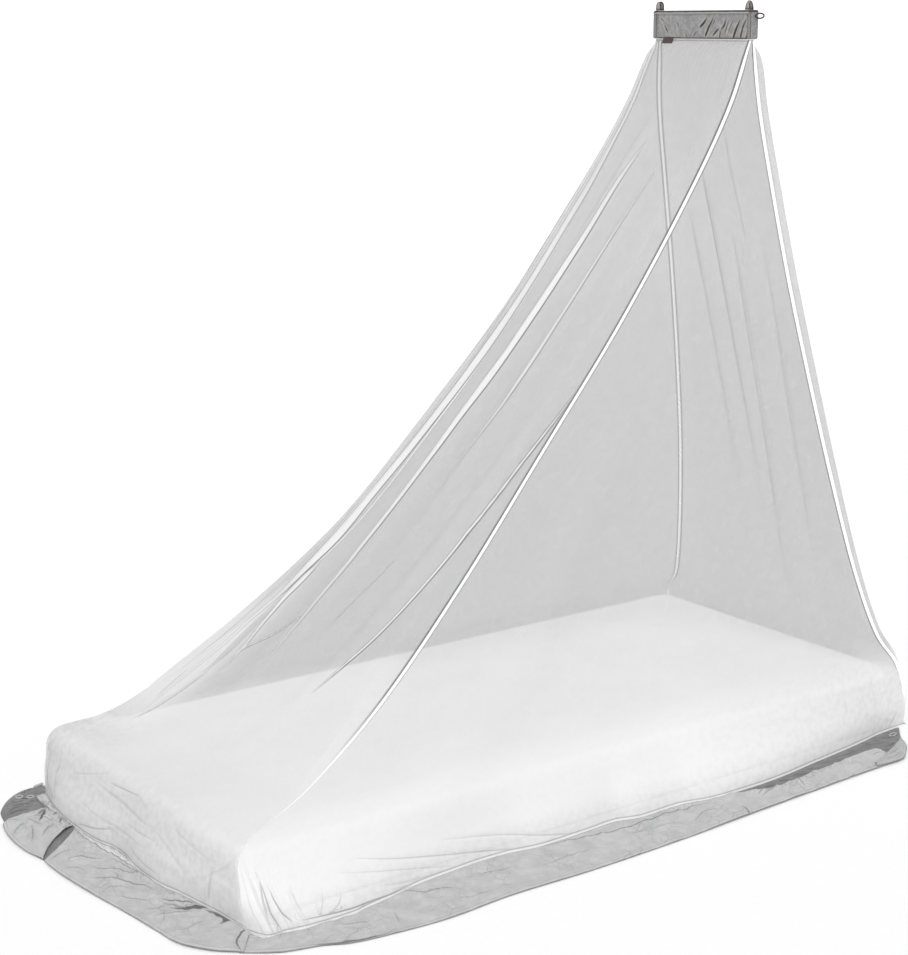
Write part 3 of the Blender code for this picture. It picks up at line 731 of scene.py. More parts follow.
def pouch_material(settings):
    """Woven polyester pack cloth over foam: mid grey, matt, with a plain weave, dark seams and stitching.

    Seams and stitches are placed by height and by distance from the pouch's middle.
    """
    paint, tree, shader = start_material("woven_polyester_pack_cloth", 0.7, 0.25)
    where = object_place(tree)
    spot = add(tree, "SeparateXYZ", {0: where})
    across = spot.outputs[1]
    drop = calculate(tree, "SUBTRACT", POUCH_HIGH.z, spot.outputs[2])
    tall = POUCH_HIGH.z - POUCH_LOW.z
    weave = times(
        tree,
        threads(tree, where, POUCH_WEAVE, (0, 0, radians(90))),
        threads(tree, where, POUCH_WEAVE, (0, radians(90), 0)),
    )
    fleck = cloud(tree, where, 420.0, 2.0)
    patches = cloud(tree, where, 90.0, 3.0)
    grey = tuple(settings.pouch_colour)
    base = blend(tree, step(tree, fleck, 0.35, 0.65), darker(grey, 0.80), darker(grey, 1.18))
    base = blend(tree, step(tree, patches, 0.38, 0.60), darker(grey, 0.78), base)
    # Painted highlight: a light line beside each crease.
    beside = beside_line(tree, "crease", 3.5 * MM, 3.0 * MM, 0.5 * MM)
    base = blend(tree, times(tree, beside, 0.55), base, darker(grey, 1.55))
    # Painted shade: each crease is drawn dark in the trim colour.
    crease = on_line(tree, "crease", 1.0 * MM, 0.6 * MM)
    lip_highlight = line_at(tree, drop, POUCH_LIP_HIGHLIGHT_AT, 2.0 * MM, 0.6 * MM)
    base = blend(tree, times(tree, lip_highlight, 0.45), base, darker(grey, 1.5))
    top_band = times(tree, step(tree, drop, 7.4 * MM, 6.0 * MM), step(tree, drop, 0.3 * MM, 1.0 * MM))
    low_line = step(tree, drop, tall - 4.6 * MM, tall - 2.6 * MM)
    stitched = add(tree, "Math", {0: across, 1: POUCH_STITCH_AT, 2: 0.9 * MM}, operation="COMPARE")
    stitch = times(tree, stitched.outputs[0], stitches(tree, drop, POUCH_STITCH, 0.42, 0.08))
    bands = larger(tree, times(tree, top_band, 0.9), times(tree, low_line, 0.85))
    dark = larger(tree, bands, larger(tree, crease, stitch))
    base = blend(tree, dark, base, tuple(settings.trim_and_shade_colour))
    tree.links.new(base, shader.inputs["Base Color"])
    relief(tree, shader, plus(tree, weave, fleck), 0.3 * MM, 0.5)
    return paint


BINDING_STITCH = 7.5 * MM


def binding_material(settings):
    """Woven polyester binding: darker grey, with a dark seam beside the pouch and a row of large stitches."""
    paint, tree, shader = start_material("woven_polyester_binding", 0.7, 0.25)
    where = object_place(tree)
    spot = add(tree, "SeparateXYZ", {0: where})
    drop = calculate(tree, "SUBTRACT", POUCH_HIGH.z, spot.outputs[2])
    fleck = cloud(tree, where, 420.0, 2.0)
    grey = tuple(settings.pouch_colour)
    base = blend(tree, step(tree, fleck, 0.35, 0.65), darker(grey, 0.58), darker(grey, 0.92))
    dashes = stitches(tree, drop, BINDING_STITCH, 0.40, 0.08)
    seam = times(tree, mark(tree, "seam"), plus(tree, 0.6, times(tree, dashes, 0.4)))
    rim = larger(tree, step(tree, drop, 6.4 * MM, 5.0 * MM), mark(tree, "rim"))
    base = blend(tree, larger(tree, seam, rim), base, tuple(settings.trim_and_shade_colour))
    tree.links.new(base, shader.inputs["Base Color"])
    relief(tree, shader, fleck, 0.3 * MM, 0.5)
    return paint


WEBBING_RIB = 1.4 * MM


def webbing_material(settings):
    """Woven nylon webbing: close ribs across the strap, darker at its edges, its foot and its crown."""
    paint, tree, shader = start_material("woven_nylon_webbing", 0.6, 0.3)
    rib = threads(tree, cut_place(tree), WEBBING_RIB, (0, 0, radians(90)))
    base = blend(tree, rib, darker(settings.webbing_colour, 0.80), darker(settings.webbing_colour, 1.1))
    base = blend(tree, mark(tree, "selvedge"), base, tuple(settings.trim_and_shade_colour))
    tree.links.new(base, shader.inputs["Base Color"])
    relief(tree, shader, rib, 0.4 * MM, 0.6)
    return paint


CORD_LAY = 2.0 * MM


def cord_material(name, colour_of_cord):
    """Braided polyester, as in piping cord and tab webbing: matt, with a slanting lay."""
    paint, tree, shader = start_material(name, 0.6, 0.3)
    lay = threads(tree, object_place(tree), CORD_LAY, (0, 0, radians(60)))
    base = blend(tree, lay, darker(colour_of_cord, 0.80), darker(colour_of_cord, 1.35))
    tree.links.new(base, shader.inputs["Base Color"])
    relief(tree, shader, lay, 0.3 * MM, 0.6)
    return paint


def moulded_material(name, base_colour):
    """Moulded acetal: smooth and slightly glossy, with a faint mould texture."""
    paint, tree, shader = start_material(name, 0.55, 0.2)
    where = object_place(tree)
    base = blend(tree, cloud(tree, where, 160.0, 2.0), darker(base_colour, 0.88), darker(base_colour, 1.08))
    tree.links.new(base, shader.inputs["Base Color"])
    relief(tree, shader, cloud(tree, where, 900.0, 2.0), 0.1 * MM, 0.4)
    return paint


def floor_material(settings):
    """Matt painted studio floor: plain and pale, with a trace of roller texture."""
    paint, tree, shader = start_material("matt_studio_paint", 0.9, 0.0)
    where = object_place(tree)
    pale = tuple(settings.floor_colour)
    base = blend(tree, cloud(tree, where, 60.0, 3.0), darker(pale, 0.99), darker(pale, 1.01))
    tree.links.new(base, shader.inputs["Base Color"])
    return paint


# The net ---------------------------------------------------------------------------------------------------

NET_TOP = POUCH_LOW.z - MATTRESS_LOW.z - 0.0008
TAPE_HALF = 5.5 * MM
TAPE_TOP_HALF = 3.0 * MM
TAPE_FULL_LEVEL = 0.05
TOP_EDGE_LEVEL = 0.8

# Where the seams run. level counts from 0 at the pouch to 1 on the floor, and half is half the canopy's
# width there.
SeamPoint = namedtuple("SeamPoint", "level height along half")
FOOT_SEAM = (
    SeamPoint(0.0, NET_TOP, 1.6625, 0.172),
    SeamPoint(0.1, 1.620, 1.583, 0.182),
    SeamPoint(0.2, 1.400, 1.441, 0.187),
    SeamPoint(0.3, 1.119, 1.227, 0.197),
    SeamPoint(0.4, 0.840, 0.977, 0.216),
    SeamPoint(0.5, 0.572, 0.716, 0.252),
    SeamPoint(0.6, 0.366, 0.443, 0.326),
    SeamPoint(0.7, 0.240, 0.205, 0.394),
    SeamPoint(0.8, 0.173, 0.012, 0.446),
    SeamPoint(0.9, 0.082, -0.014, 0.468),
    SeamPoint(1.0, 0.001, -0.010, 0.487),
)
HEAD_SEAM = (
    SeamPoint(0.0, NET_TOP, 1.6715, 0.172),
    SeamPoint(0.1, 1.620, 1.688, 0.186),
    SeamPoint(0.2, 1.420, 1.728, 0.201),
    SeamPoint(0.3, 1.180, 1.780, 0.222),
    SeamPoint(0.4, 0.930, 1.836, 0.252),
    SeamPoint(0.5, 0.670, 1.893, 0.290),
    SeamPoint(0.6, 0.420, 1.945, 0.339),
    SeamPoint(0.7, 0.250, 1.985, 0.390),
    SeamPoint(0.8, 0.173, 2.008, 0.446),
    SeamPoint(0.9, 0.082, 2.026, 0.464),
    SeamPoint(1.0, 0.001, 2.016, 0.472),
)
SEAMS = {"foot": FOOT_SEAM, "head": HEAD_SEAM}
SIDES = {"near": -1, "far": 1}

# How far each panel swells between its tapes. The tapes lie on the sides, so the foot and head panels come
# round the corner in a boxy curve.
Billow = namedtuple("Billow", "level depth")
SIDE_BILLOW = (
    Billow(0.0, 0.0),
    Billow(0.10, 0.005),
    Billow(0.40, 0.012),
    Billow(0.72, 0.005),
    Billow(1.0, 0.0),
)
FOOT_BILLOW = (
    Billow(0.0, 0.0),
    Billow(0.03, 0.022),
    Billow(0.10, 0.026),
    Billow(0.25, 0.046),
    Billow(0.50, 0.060),
    Billow(0.62, 0.036),
    Billow(0.72, 0.004),
    Billow(0.80, 0.001),
    Billow(1.0, 0.0),
)
HEAD_BILLOW = (
    Billow(0.0, 0.0),
    Billow(0.03, 0.034),
    Billow(0.10, 0.040),
    Billow(0.30, 0.044),
    Billow(0.50, 0.042),
    Billow(0.70, 0.034),
    Billow(0.80, 0.026),
    Billow(1.0, 0.0),
)

# How far the net's foot stands out past a straight line between its corners, on the floor.
Flare = namedtuple("Flare", "share out")
NEAR_FLARE = (
    Flare(0.0, 0.0),
    Flare(0.009, 0.045),
    Flare(0.032, 0.050),
    Flare(0.055, 0.058),
    Flare(0.110, 0.061),
    Flare(0.133, 0.051),
    Flare(0.162, 0.041),
    Flare(0.185, 0.030),
    Flare(0.215, 0.020),
    Flare(0.258, 0.013),
    Flare(0.294, 0.009),
    Flare(0.335, 0.013),
    Flare(0.373, 0.027),
    Flare(0.447, 0.025),
    Flare(0.487, 0.022),
    Flare(0.517, 0.039),
    Flare(0.581, 0.040),
    Flare(0.621, 0.059),
    Flare(0.680, 0.064),
    Flare(0.739, 0.060),
    Flare(0.811, 0.042),
    Flare(0.878, 0.026),
    Flare(0.915, 0.015),
    Flare(0.955, 0.002),
    Flare(1.0, 0.0),
)
FOOT_FLARE = (
    Flare(0.0, 0.0),
    Flare(0.10, 0.006),
    Flare(0.195, 0.019),
    Flare(0.260, 0.029),
    Flare(0.306, 0.039),
    Flare(0.373, 0.043),
    Flare(0.438, 0.041),
    Flare(0.500, 0.032),
    Flare(0.566, 0.033),
    Flare(0.618, 0.046),
    Flare(0.716, 0.051),
    Flare(0.800, 0.048),
    Flare(0.880, 0.038),
    Flare(0.960, 0.020),
    Flare(1.0, 0.0),
)
FAR_FLARE = (Flare(0.0, 0.0), Flare(0.2, 0.03), Flare(0.45, 0.012), Flare(0.7, 0.036), Flare(1.0, 0.0))
HEAD_FLARE = (Flare(0.0, 0.0), Flare(0.4, 0.006), Flare(0.75, 0.016), Flare(1.0, 0.0))

# Long soft folds in a panel, from share "top" at the pouch to share "base" at the floor.
Fold = namedtuple("Fold", "top base first last height width")
FOOT_FOLDS = (
    Fold(0.84, 0.86, 0.06, 0.72, 0.012, 0.050),
    Fold(0.60, 0.60, 0.08, 0.70, 0.016, 0.050),
    Fold(0.26, 0.50, 0.16, 0.54, 0.010, 0.045),
    Fold(-0.30, 0.62, 0.34, 0.72, 0.010, 0.045),
)
HEAD_FOLDS = (
    Fold(0.26, 0.33, 0.22, 0.78, 0.008, 0.045),
    Fold(0.57, 0.42, 0.20, 0.82, 0.010, 0.045),
    Fold(0.85, 0.39, 0.14, 0.72, 0.009, 0.045),
    Fold(1.08, 0.42, 0.22, 0.70, 0.008, 0.045),
)
SIDE_FOLDS = (Fold(0.30, 0.24, 0.35, 0.92, 0.008, 0.06), Fold(0.62, 0.66, 0.40, 0.95, 0.007, 0.07))

# Pleats, where the net lies double, as bands of (level, share, half width).
FOOT_PLEATS = (
    # the broad one above the far seam
    Band(0.95, 0.004, (
        (0.010, 0.935, 0.0010), (0.022, 0.919, 0.0030), (0.075, 0.900, 0.0050), (0.120, 0.860, 0.0055),
        (0.195, 0.825, 0.0062), (0.250, 0.822, 0.0075), (0.300, 0.815, 0.0080), (0.345, 0.810, 0.0098),
        (0.385, 0.812, 0.0092), (0.430, 0.822, 0.0095), (0.470, 0.838, 0.0115), (0.510, 0.830, 0.0130),
        (0.537, 0.831, 0.0090), (0.565, 0.830, 0.0046), (0.593, 0.842, 0.0036), (0.630, 0.846, 0.0036),
        (0.660, 0.858, 0.0034), (0.685, 0.872, 0.0026), (0.715, 0.880, 0.0008),
    )),
    # its branch, where it parts above the bed
    Band(0.85, 0.003, (
        (0.530, 0.800, 0.0010), (0.545, 0.800, 0.0060), (0.565, 0.800, 0.0058), (0.578, 0.792, 0.0048),
        (0.595, 0.780, 0.0044), (0.605, 0.769, 0.0040), (0.620, 0.755, 0.0034), (0.633, 0.748, 0.0024),
        (0.650, 0.742, 0.0004),
    )),
    # the bright one down the middle
    Band(1.0, 0.005, (
        (0.150, 0.536, 0.0008), (0.175, 0.552, 0.0036), (0.200, 0.562, 0.0050), (0.242, 0.566, 0.0062),
        (0.280, 0.575, 0.0080), (0.325, 0.579, 0.0088), (0.345, 0.577, 0.0082), (0.367, 0.581, 0.0096),
        (0.395, 0.587, 0.0082), (0.420, 0.589, 0.0070), (0.443, 0.594, 0.0064), (0.473, 0.599, 0.0064),
        (0.500, 0.598, 0.0060), (0.527, 0.590, 0.0048), (0.550, 0.587, 0.0042), (0.573, 0.582, 0.0034),
        (0.590, 0.580, 0.0028), (0.608, 0.577, 0.0020), (0.622, 0.576, 0.0004),
    )),
    # a drag line from its foot towards the corner
    Band(0.75, 0.002, (
        (0.578, 0.590, 0.0010), (0.585, 0.625, 0.0022), (0.597, 0.680, 0.0026), (0.611, 0.730, 0.0022),
        (0.622, 0.758, 0.0006),
    )),
    # the next one towards the near tape
    Band(0.8, 0.003, (
        (0.180, 0.285, 0.0006), (0.205, 0.303, 0.0020), (0.240, 0.317, 0.0032), (0.275, 0.326, 0.0040),
        (0.310, 0.333, 0.0046), (0.345, 0.332, 0.0052), (0.362, 0.332, 0.0046), (0.383, 0.334, 0.0032),
        (0.400, 0.344, 0.0028), (0.417, 0.358, 0.0022), (0.435, 0.370, 0.0014), (0.460, 0.382, 0.0004),
    )),
    # the one that leaves the near tape
    Band(1.0, 0.003, (
        (0.352, 0.0016, 0.0008), (0.385, 0.0072, 0.0026), (0.415, 0.0132, 0.0030), (0.445, 0.0190, 0.0032),
        (0.475, 0.0280, 0.0032), (0.505, 0.0560, 0.0034), (0.535, 0.0980, 0.0036), (0.565, 0.1480, 0.0034),
        (0.595, 0.2020, 0.0026), (0.628, 0.2500, 0.0004),
    )),
    # a short broken one above the bed
    Band(0.6, 0.002, (
        (0.508, 0.358, 0.0004), (0.517, 0.370, 0.0020), (0.528, 0.388, 0.0022), (0.542, 0.405, 0.0010),
        (0.555, 0.424, 0.0020), (0.572, 0.434, 0.0004),
    )),
    # short ones in the corner, towards the foot of the bed
    Band(0.6, 0.002, (
        (0.650, 0.790, 0.0004), (0.677, 0.813, 0.0022), (0.705, 0.844, 0.0022), (0.728, 0.872, 0.0004),
    )),
    # fine ones in the edge beyond the broad one
    Band(0.5, 0.002, (
        (0.10, 0.925, 0.0004), (0.20, 0.925, 0.0018), (0.31, 0.938, 0.0020), (0.39, 0.975, 0.0004),
    )),
    Band(0.5, 0.002, ((0.16, 0.968, 0.0004), (0.27, 0.975, 0.0018), (0.36, 0.988, 0.0004))),
    Band(0.5, 0.002, (
        (0.44, 0.930, 0.0004), (0.50, 0.925, 0.0020), (0.58, 0.910, 0.0022), (0.66, 0.915, 0.0004),
    )),
)
FOOT_CREASES = (
    # the shadow where the broad pleat parts
    Band(0.35, -0.003, (
        (0.560, 0.815, 0.0006), (0.583, 0.812, 0.0060), (0.600, 0.812, 0.0085), (0.625, 0.806, 0.0090),
        (0.645, 0.806, 0.0050), (0.658, 0.812, 0.0006),
    )),
    Band(0.7, -0.001, (
        (0.500, 0.872, 0.0005), (0.515, 0.872, 0.0009), (0.535, 0.872, 0.0009), (0.552, 0.875, 0.0008),
        (0.570, 0.882, 0.0004),
    )),
    Band(0.6, -0.001, ((0.660, 0.890, 0.0005), (0.677, 0.893, 0.0010), (0.695, 0.895, 0.0004))),
    # wrinkles where the net hangs over the foot of the mattress
    Band(0.40, -0.001, ((0.840, 0.620, 0.0004), (0.838, 0.570, 0.0010), (0.831, 0.480, 0.0006))),
    Band(0.22, -0.0007, ((0.869, 0.800, 0.0005), (0.847, 0.720, 0.0008), (0.825, 0.650, 0.0004))),
    Band(0.12, -0.0017, (
        (0.858, 0.700, 0.0008), (0.867, 0.570, 0.0032), (0.876, 0.480, 0.0030), (0.878, 0.410, 0.0008),
    )),
    Band(0.20, -0.001, ((0.908, 0.510, 0.0006), (0.903, 0.430, 0.0014), (0.898, 0.360, 0.0006))),
    Band(0.40, -0.0007, ((0.978, 0.705, 0.0006), (0.965, 0.640, 0.0010), (0.945, 0.575, 0.0006))),
    Band(0.16, -0.0007, ((0.829, 0.490, 0.0006), (0.838, 0.455, 0.0012), (0.848, 0.420, 0.0006))),
    Band(0.22, -0.0021, (
        (0.888, 0.126, 0.0010), (0.925, 0.134, 0.0042), (0.956, 0.142, 0.0036), (0.972, 0.146, 0.0008),
    )),
    Band(0.12, 0.0014, ((0.818, 0.006, 0.0006), (0.850, 0.046, 0.0014), (0.894, 0.120, 0.0010))),
    Band(0.09, -0.0014, ((0.920, 0.720, 0.0010), (0.934, 0.560, 0.0030), (0.930, 0.400, 0.0010))),
    Band(0.09, -0.0014, ((0.880, 0.360, 0.0010), (0.902, 0.290, 0.0030), (0.935, 0.230, 0.0010))),
    Band(0.07, -0.0014, ((0.848, 0.300, 0.0010), (0.862, 0.220, 0.0028), (0.870, 0.150, 0.0010))),
    Band(0.32, -0.0007, ((0.955, 0.470, 0.0004), (0.968, 0.400, 0.0009), (0.972, 0.330, 0.0004))),
    # the loose edge at the far corner
    Band(0.47, -0.001, (
        (0.845, 0.905, 0.0004), (0.875, 0.900, 0.0009), (0.906, 0.898, 0.0010), (0.940, 0.880, 0.0012),
        (0.965, 0.868, 0.0006),
    )),
    Band(0.61, 0.0, (
        (0.835, 0.975, 0.0004), (0.875, 0.970, 0.0010), (0.915, 0.962, 0.0012), (0.950, 0.935, 0.0012),
        (0.962, 0.905, 0.0006),
    )),
)
HEAD_PLEATS = (
    Band(0.59, 0.002, (
        (0.240, 0.915, 0.0004), (0.295, 0.875, 0.0034), (0.410, 0.788, 0.0037), (0.540, 0.694, 0.0004),
    )),
    Band(0.85, 0.002, (
        (0.190, 0.770, 0.0004), (0.225, 0.748, 0.0037), (0.292, 0.706, 0.0044), (0.403, 0.638, 0.0037),
        (0.535, 0.560, 0.0004),
    )),
    Band(0.68, 0.002, (
        (0.260, 0.550, 0.0004), (0.340, 0.532, 0.0037), (0.465, 0.500, 0.0044), (0.680, 0.468, 0.0004),
    )),
    Band(0.51, 0.002, ((0.260, 0.290, 0.0004), (0.435, 0.294, 0.0034), (0.610, 0.296, 0.0004))),
    Band(0.42, 0.002, ((0.100, 0.500, 0.0004), (0.180, 0.480, 0.0027), (0.280, 0.420, 0.0004))),
)
# Gathers where the near panel comes down at the foot corner.
NEAR_PLEATS = (
    Band(0.23, 0.0025, (
        (0.826, 0.004, 0.0010), (0.870, 0.006, 0.0050), (0.930, 0.008, 0.0080), (0.985, 0.011, 0.0090),
    )),
    Band(0.17, 0.0017, ((0.850, 0.018, 0.0006), (0.900, 0.019, 0.0030), (0.985, 0.024, 0.0045))),
    Band(0.15, 0.0013, ((0.880, 0.030, 0.0006), (0.930, 0.032, 0.0026), (0.990, 0.038, 0.0040))),
    Band(0.12, 0.0013, ((0.905, 0.048, 0.0006), (0.950, 0.050, 0.0024), (0.992, 0.056, 0.0036))),
    Band(0.10, 0.0008, ((0.925, 0.074, 0.0006), (0.960, 0.072, 0.0020), (0.992, 0.078, 0.0030))),
)
NEAR_CREASES = (
    Band(0.60, -0.0016, (
        (0.862, 0.018, 0.0004), (0.906, 0.0205, 0.0010), (0.945, 0.021, 0.0014), (0.985, 0.026, 0.0006),
    )),
    Band(0.60, -0.0016, (
        (0.900, 0.028, 0.0004), (0.925, 0.030, 0.0010), (0.955, 0.034, 0.0012), (0.972, 0.040, 0.0005),
    )),
    Band(0.24, -0.0012, ((0.840, 0.0085, 0.0004), (0.900, 0.012, 0.0010), (0.975, 0.015, 0.0012))),
    Band(0.28, -0.0008, ((0.908, 0.050, 0.0004), (0.930, 0.051, 0.0008), (0.955, 0.053, 0.0004))),
    Band(0.28, -0.0008, ((0.932, 0.082, 0.0004), (0.955, 0.078, 0.0008), (0.972, 0.072, 0.0004))),
    Band(0.32, -0.0008, (
        (0.940, 0.103, 0.0004), (0.960, 0.098, 0.0008), (0.975, 0.086, 0.0010), (0.980, 0.078, 0.0004),
    )),
    # the turned hem, and long faint wrinkles above it
    Band(0.64, -0.0008, (
        (0.976, 0.050, 0.0004), (0.980, 0.080, 0.0010), (0.983, 0.110, 0.0012), (0.989, 0.150, 0.0012),
        (0.992, 0.170, 0.0008), (0.996, 0.195, 0.0004),
    )),
    Band(0.34, -0.0012, (
        (0.886, 0.135, 0.0004), (0.919, 0.190, 0.0009), (0.950, 0.250, 0.0010), (0.978, 0.310, 0.0010),
        (0.994, 0.350, 0.0004),
    )),
    Band(0.27, -0.0012, (
        (0.910, 0.250, 0.0004), (0.944, 0.330, 0.0009), (0.978, 0.395, 0.0010), (0.994, 0.430, 0.0004),
    )),
    Band(0.21, -0.0012, ((0.902, 0.110, 0.0004), (0.944, 0.185, 0.0010), (0.985, 0.255, 0.0004))),
    Band(0.16, -0.0012, ((0.960, 0.150, 0.0006), (0.985, 0.205, 0.0026), (0.992, 0.250, 0.0006))),
    # by the head corner
    Band(0.13, -0.0012, ((0.845, 0.925, 0.0006), (0.900, 0.922, 0.0016), (0.945, 0.918, 0.0006))),
    Band(0.13, -0.0012, ((0.830, 0.945, 0.0006), (0.890, 0.944, 0.0016), (0.955, 0.938, 0.0006))),
    Band(0.10, -0.0012, ((0.840, 0.890, 0.0006), (0.900, 0.885, 0.0018), (0.950, 0.878, 0.0006))),
    Band(0.44, -0.0012, (
        (0.935, 0.986, 0.0004), (0.960, 0.980, 0.0010), (0.982, 0.973, 0.0010), (0.994, 0.970, 0.0004),
    )),
)

Panel = namedtuple("Panel", "name first last outward boxy billow flare folds pleats creases rows columns")
NEAR_FOOT = ("foot", "near")
NEAR_HEAD = ("head", "near")
FAR_FOOT = ("foot", "far")
FAR_HEAD = ("head", "far")
TO_NEAR = Vector((0, -1, 0))
TO_FAR = Vector((0, 1, 0))
TO_FOOT = Vector((-1, 0, 0))
TO_HEAD = Vector((1, 0, 0))
PANELS = (
    Panel(
        "net_near", NEAR_FOOT, NEAR_HEAD, TO_NEAR, False,
        SIDE_BILLOW, NEAR_FLARE, SIDE_FOLDS, NEAR_PLEATS, NEAR_CREASES, 260, 210,
    ),
    Panel(
        "net_far", FAR_FOOT, FAR_HEAD, TO_FAR, False,
        SIDE_BILLOW, FAR_FLARE, SIDE_FOLDS, (), (), 190, 120,
    ),
    Panel(
        "net_foot", NEAR_FOOT, FAR_FOOT, TO_FOOT, True,
        FOOT_BILLOW, FOOT_FLARE, FOOT_FOLDS, FOOT_PLEATS, FOOT_CREASES, 330, 170,
    ),
    Panel(
        "net_head", NEAR_HEAD, FAR_HEAD, TO_HEAD, True,
        HEAD_BILLOW, HEAD_FLARE, HEAD_FOLDS, HEAD_PLEATS, (), 220, 130,
    ),
)
BOXY_EDGE = 0.025  # share at which the boxy curve has turned the corner
SEAM_TUCK = 0.85  # how far from a tape's middle a panel's edge lies under it, in half widths of the tape
SEAM_OVER = -0.3  # the same where the panels close over the tape: past its middle
BEHIND_TAPE = 1.3 * MM  # how far the net lies behind the tape
SEAM_LINE_AT = 0.9 * MM  # how far beside a tape its painted shade line runs
NET_REACH = 20 * MM  # how far from a seam the material is told its distance
NET_LIFT = 2.4 * MM  # how high the foot of the net lies above the floor
PLEAT_STEP = 12 * MM
PLEAT_FREE = 1 / 60  # how far from a panel's edges, as a share, its pleats reach their full relief
FOLD_RISE = 0.12  # the levels in which a long soft fold rises, and in which it dies away
FOLD_FALL = 0.15

# The fine gathers where the net is sewn under the pouch.
TOP_GATHER = 0.9 * MM
TOP_GATHER_PITCH = 7 * MM
TOP_GATHER_FALL = 0.05
TOP_HEM_LESS = 1.5 * MM  # how much less of a hem shows there than at the foot of the net

# Below these levels the net is gathered over a tape: the panels close over it, and it lies this deep.
TAPE_COVERED_FROM = {NEAR_FOOT: 0.70, NEAR_HEAD: 0.86, FAR_FOOT: 0.76, FAR_HEAD: 0.86}
TAPE_FADE = 0.08  # the levels in which a tape goes from plain to covered
COVERED_DEPTH = 4 * MM

# The far foot seam sags on to the bed's corner.
SAG_LEVEL = 0.745
SAG_ABOVE = 0.06
SAG_BELOW = 0.045
SAG_DOWN = 18 * MM
SAG_IN = 10 * MM

# The levels from which a panel hangs close over the bed and is painted lighter, as (share, level).
NEAR_CLEAR_FROM = (
    (0.0, 0.55), (0.30, 0.562), (0.50, 0.569), (0.675, 0.606), (0.844, 0.669), (0.95, 0.744), (1.0, 0.80),
)
FOOT_CLEAR_FROM = (
    (0.0, 0.552), (0.094, 0.562), (0.38, 0.594), (0.613, 0.631), (0.775, 0.669), (0.894, 0.713), (1.0, 0.74),
)


def seam_corner(end, side, level):
    """Where a seam runs: its end is foot or head, and its side near or far."""
    height, along, half = read(SEAMS[end], level)
    if (end, side) == FAR_FOOT:
        sag = bump(level - SAG_LEVEL, SAG_ABOVE if level < SAG_LEVEL else SAG_BELOW)
        height -= SAG_DOWN * sag
        half -= SAG_IN * sag
    return at(along, SIDES[side] * half, height)


def tape_half(level):
    """Half a tape's width, which is gathered in under the pouch."""
    return TAPE_TOP_HALF + (TAPE_HALF - TAPE_TOP_HALF) * ease(0, TAPE_FULL_LEVEL, level)


def tape_direction(end, side, level):
    """Across a tape, which lies flat in the side of the canopy, towards the foot or head panel."""
    other = "head" if end == "foot" else "foot"
    return (seam_corner(end, side, level) - seam_corner(other, side, level)).normalized()


def covered(seam, level):
    """From 0 to 1, where the net is gathered over a tape and hides it."""
    start = TAPE_COVERED_FROM[seam]
    return ease(start, start + TAPE_FADE, level)


def panel_edge(panel, seam, level):
    """Where a panel's edge runs, tucked under its tape, or closed over it where the net hides the tape."""
    towards = 1 if panel.boxy else -1
    hidden = covered(seam, level)
    tuck = SEAM_TUCK + (SEAM_OVER - SEAM_TUCK) * hidden
    point = seam_corner(*seam, level) + tape_direction(*seam, level) * (tape_half(level) * tuck * towards)
    inward = Vector((0, -SIDES[seam[1]], 0))
    return point + inward * (BEHIND_TAPE * (1 - hidden))


def boxy_profile(shares):
    """How far a boxy panel stands out at each share, straight over its first stretch from the tape."""
    inside = np.clip(shares, BOXY_EDGE, 1 - BOXY_EDGE)
    full = (1 - np.abs(2 * inside - 1) ** 8) ** (1 / 8)
    near_edge = np.minimum(shares, 1 - shares) / BOXY_EDGE
    return full * np.minimum(near_edge, 1)


def panel_shares(panel):
    """Shares of a panel's width, closer together by the seams of a boxy panel."""
    even = np.linspace(0, 1, panel.columns + 1)
    if panel.boxy:
        return 0.35 * even + 0.65 * (1 - np.cos(pi * even)) / 2
    return even


def panel_grid(panel, levels, shares):
    """The points of a panel without its pleats, and the way that each faces."""
    starts = np.array([panel_edge(panel, panel.first, level) for level in levels])
    stops = np.array([panel_edge(panel, panel.last, level) for level in levels])
    outward = np.array(panel.outward)
    over = (stops - starts)[:, None, :]
    base = starts[:, None, :] + over * shares[None, :, None]
    down = np.gradient(base, axis=0)
    normals = np.cross(down, np.broadcast_to(over, down.shape))
    normals /= np.linalg.norm(normals, axis=2, keepdims=True)
    normals *= np.where(normals @ outward < 0, -1, 1)[:, :, None]
    profile = boxy_profile(shares) if panel.boxy else np.sqrt(np.maximum(1 - (2 * shares - 1) ** 2, 0))
    depth = np.array([read(panel.billow, level)[0] for level in levels])
    out = depth[:, None] * profile[None, :]
    for fold in panel.folds:
        centre = fold.top + (fold.base - fold.top) * levels
        window = ease(fold.first, fold.first + FOLD_RISE, levels)
        window = window * (1 - ease(fold.last - FOLD_FALL, fold.last, levels))
        ridge = bump(shares[None, :] - centre[:, None], fold.width)
        out += fold.height * window[:, None] * ridge * np.minimum(profile * 2, 1)[None, :]
    width = np.linalg.norm(over[:, 0], axis=1)
    turns = shares[None, :] * width[:, None] / TOP_GATHER_PITCH
    ripple = np.sin(turns * pi + 3 * np.sin(shares * 9)[None, :])
    free = np.minimum(np.minimum(shares, 1 - shares) * 20, 1)
    out += TOP_GATHER * np.exp(-levels / TOP_GATHER_FALL)[:, None] * ripple * free[None, :]
    flare = np.array([read(panel.flare, share)[0] for share in shares])
    spread = ease(TOP_EDGE_LEVEL, 1, levels)[:, None] * flare[None, :]
    grid = base + normals * out[:, :, None] + outward * spread[:, :, None]
    return grid, normals, width


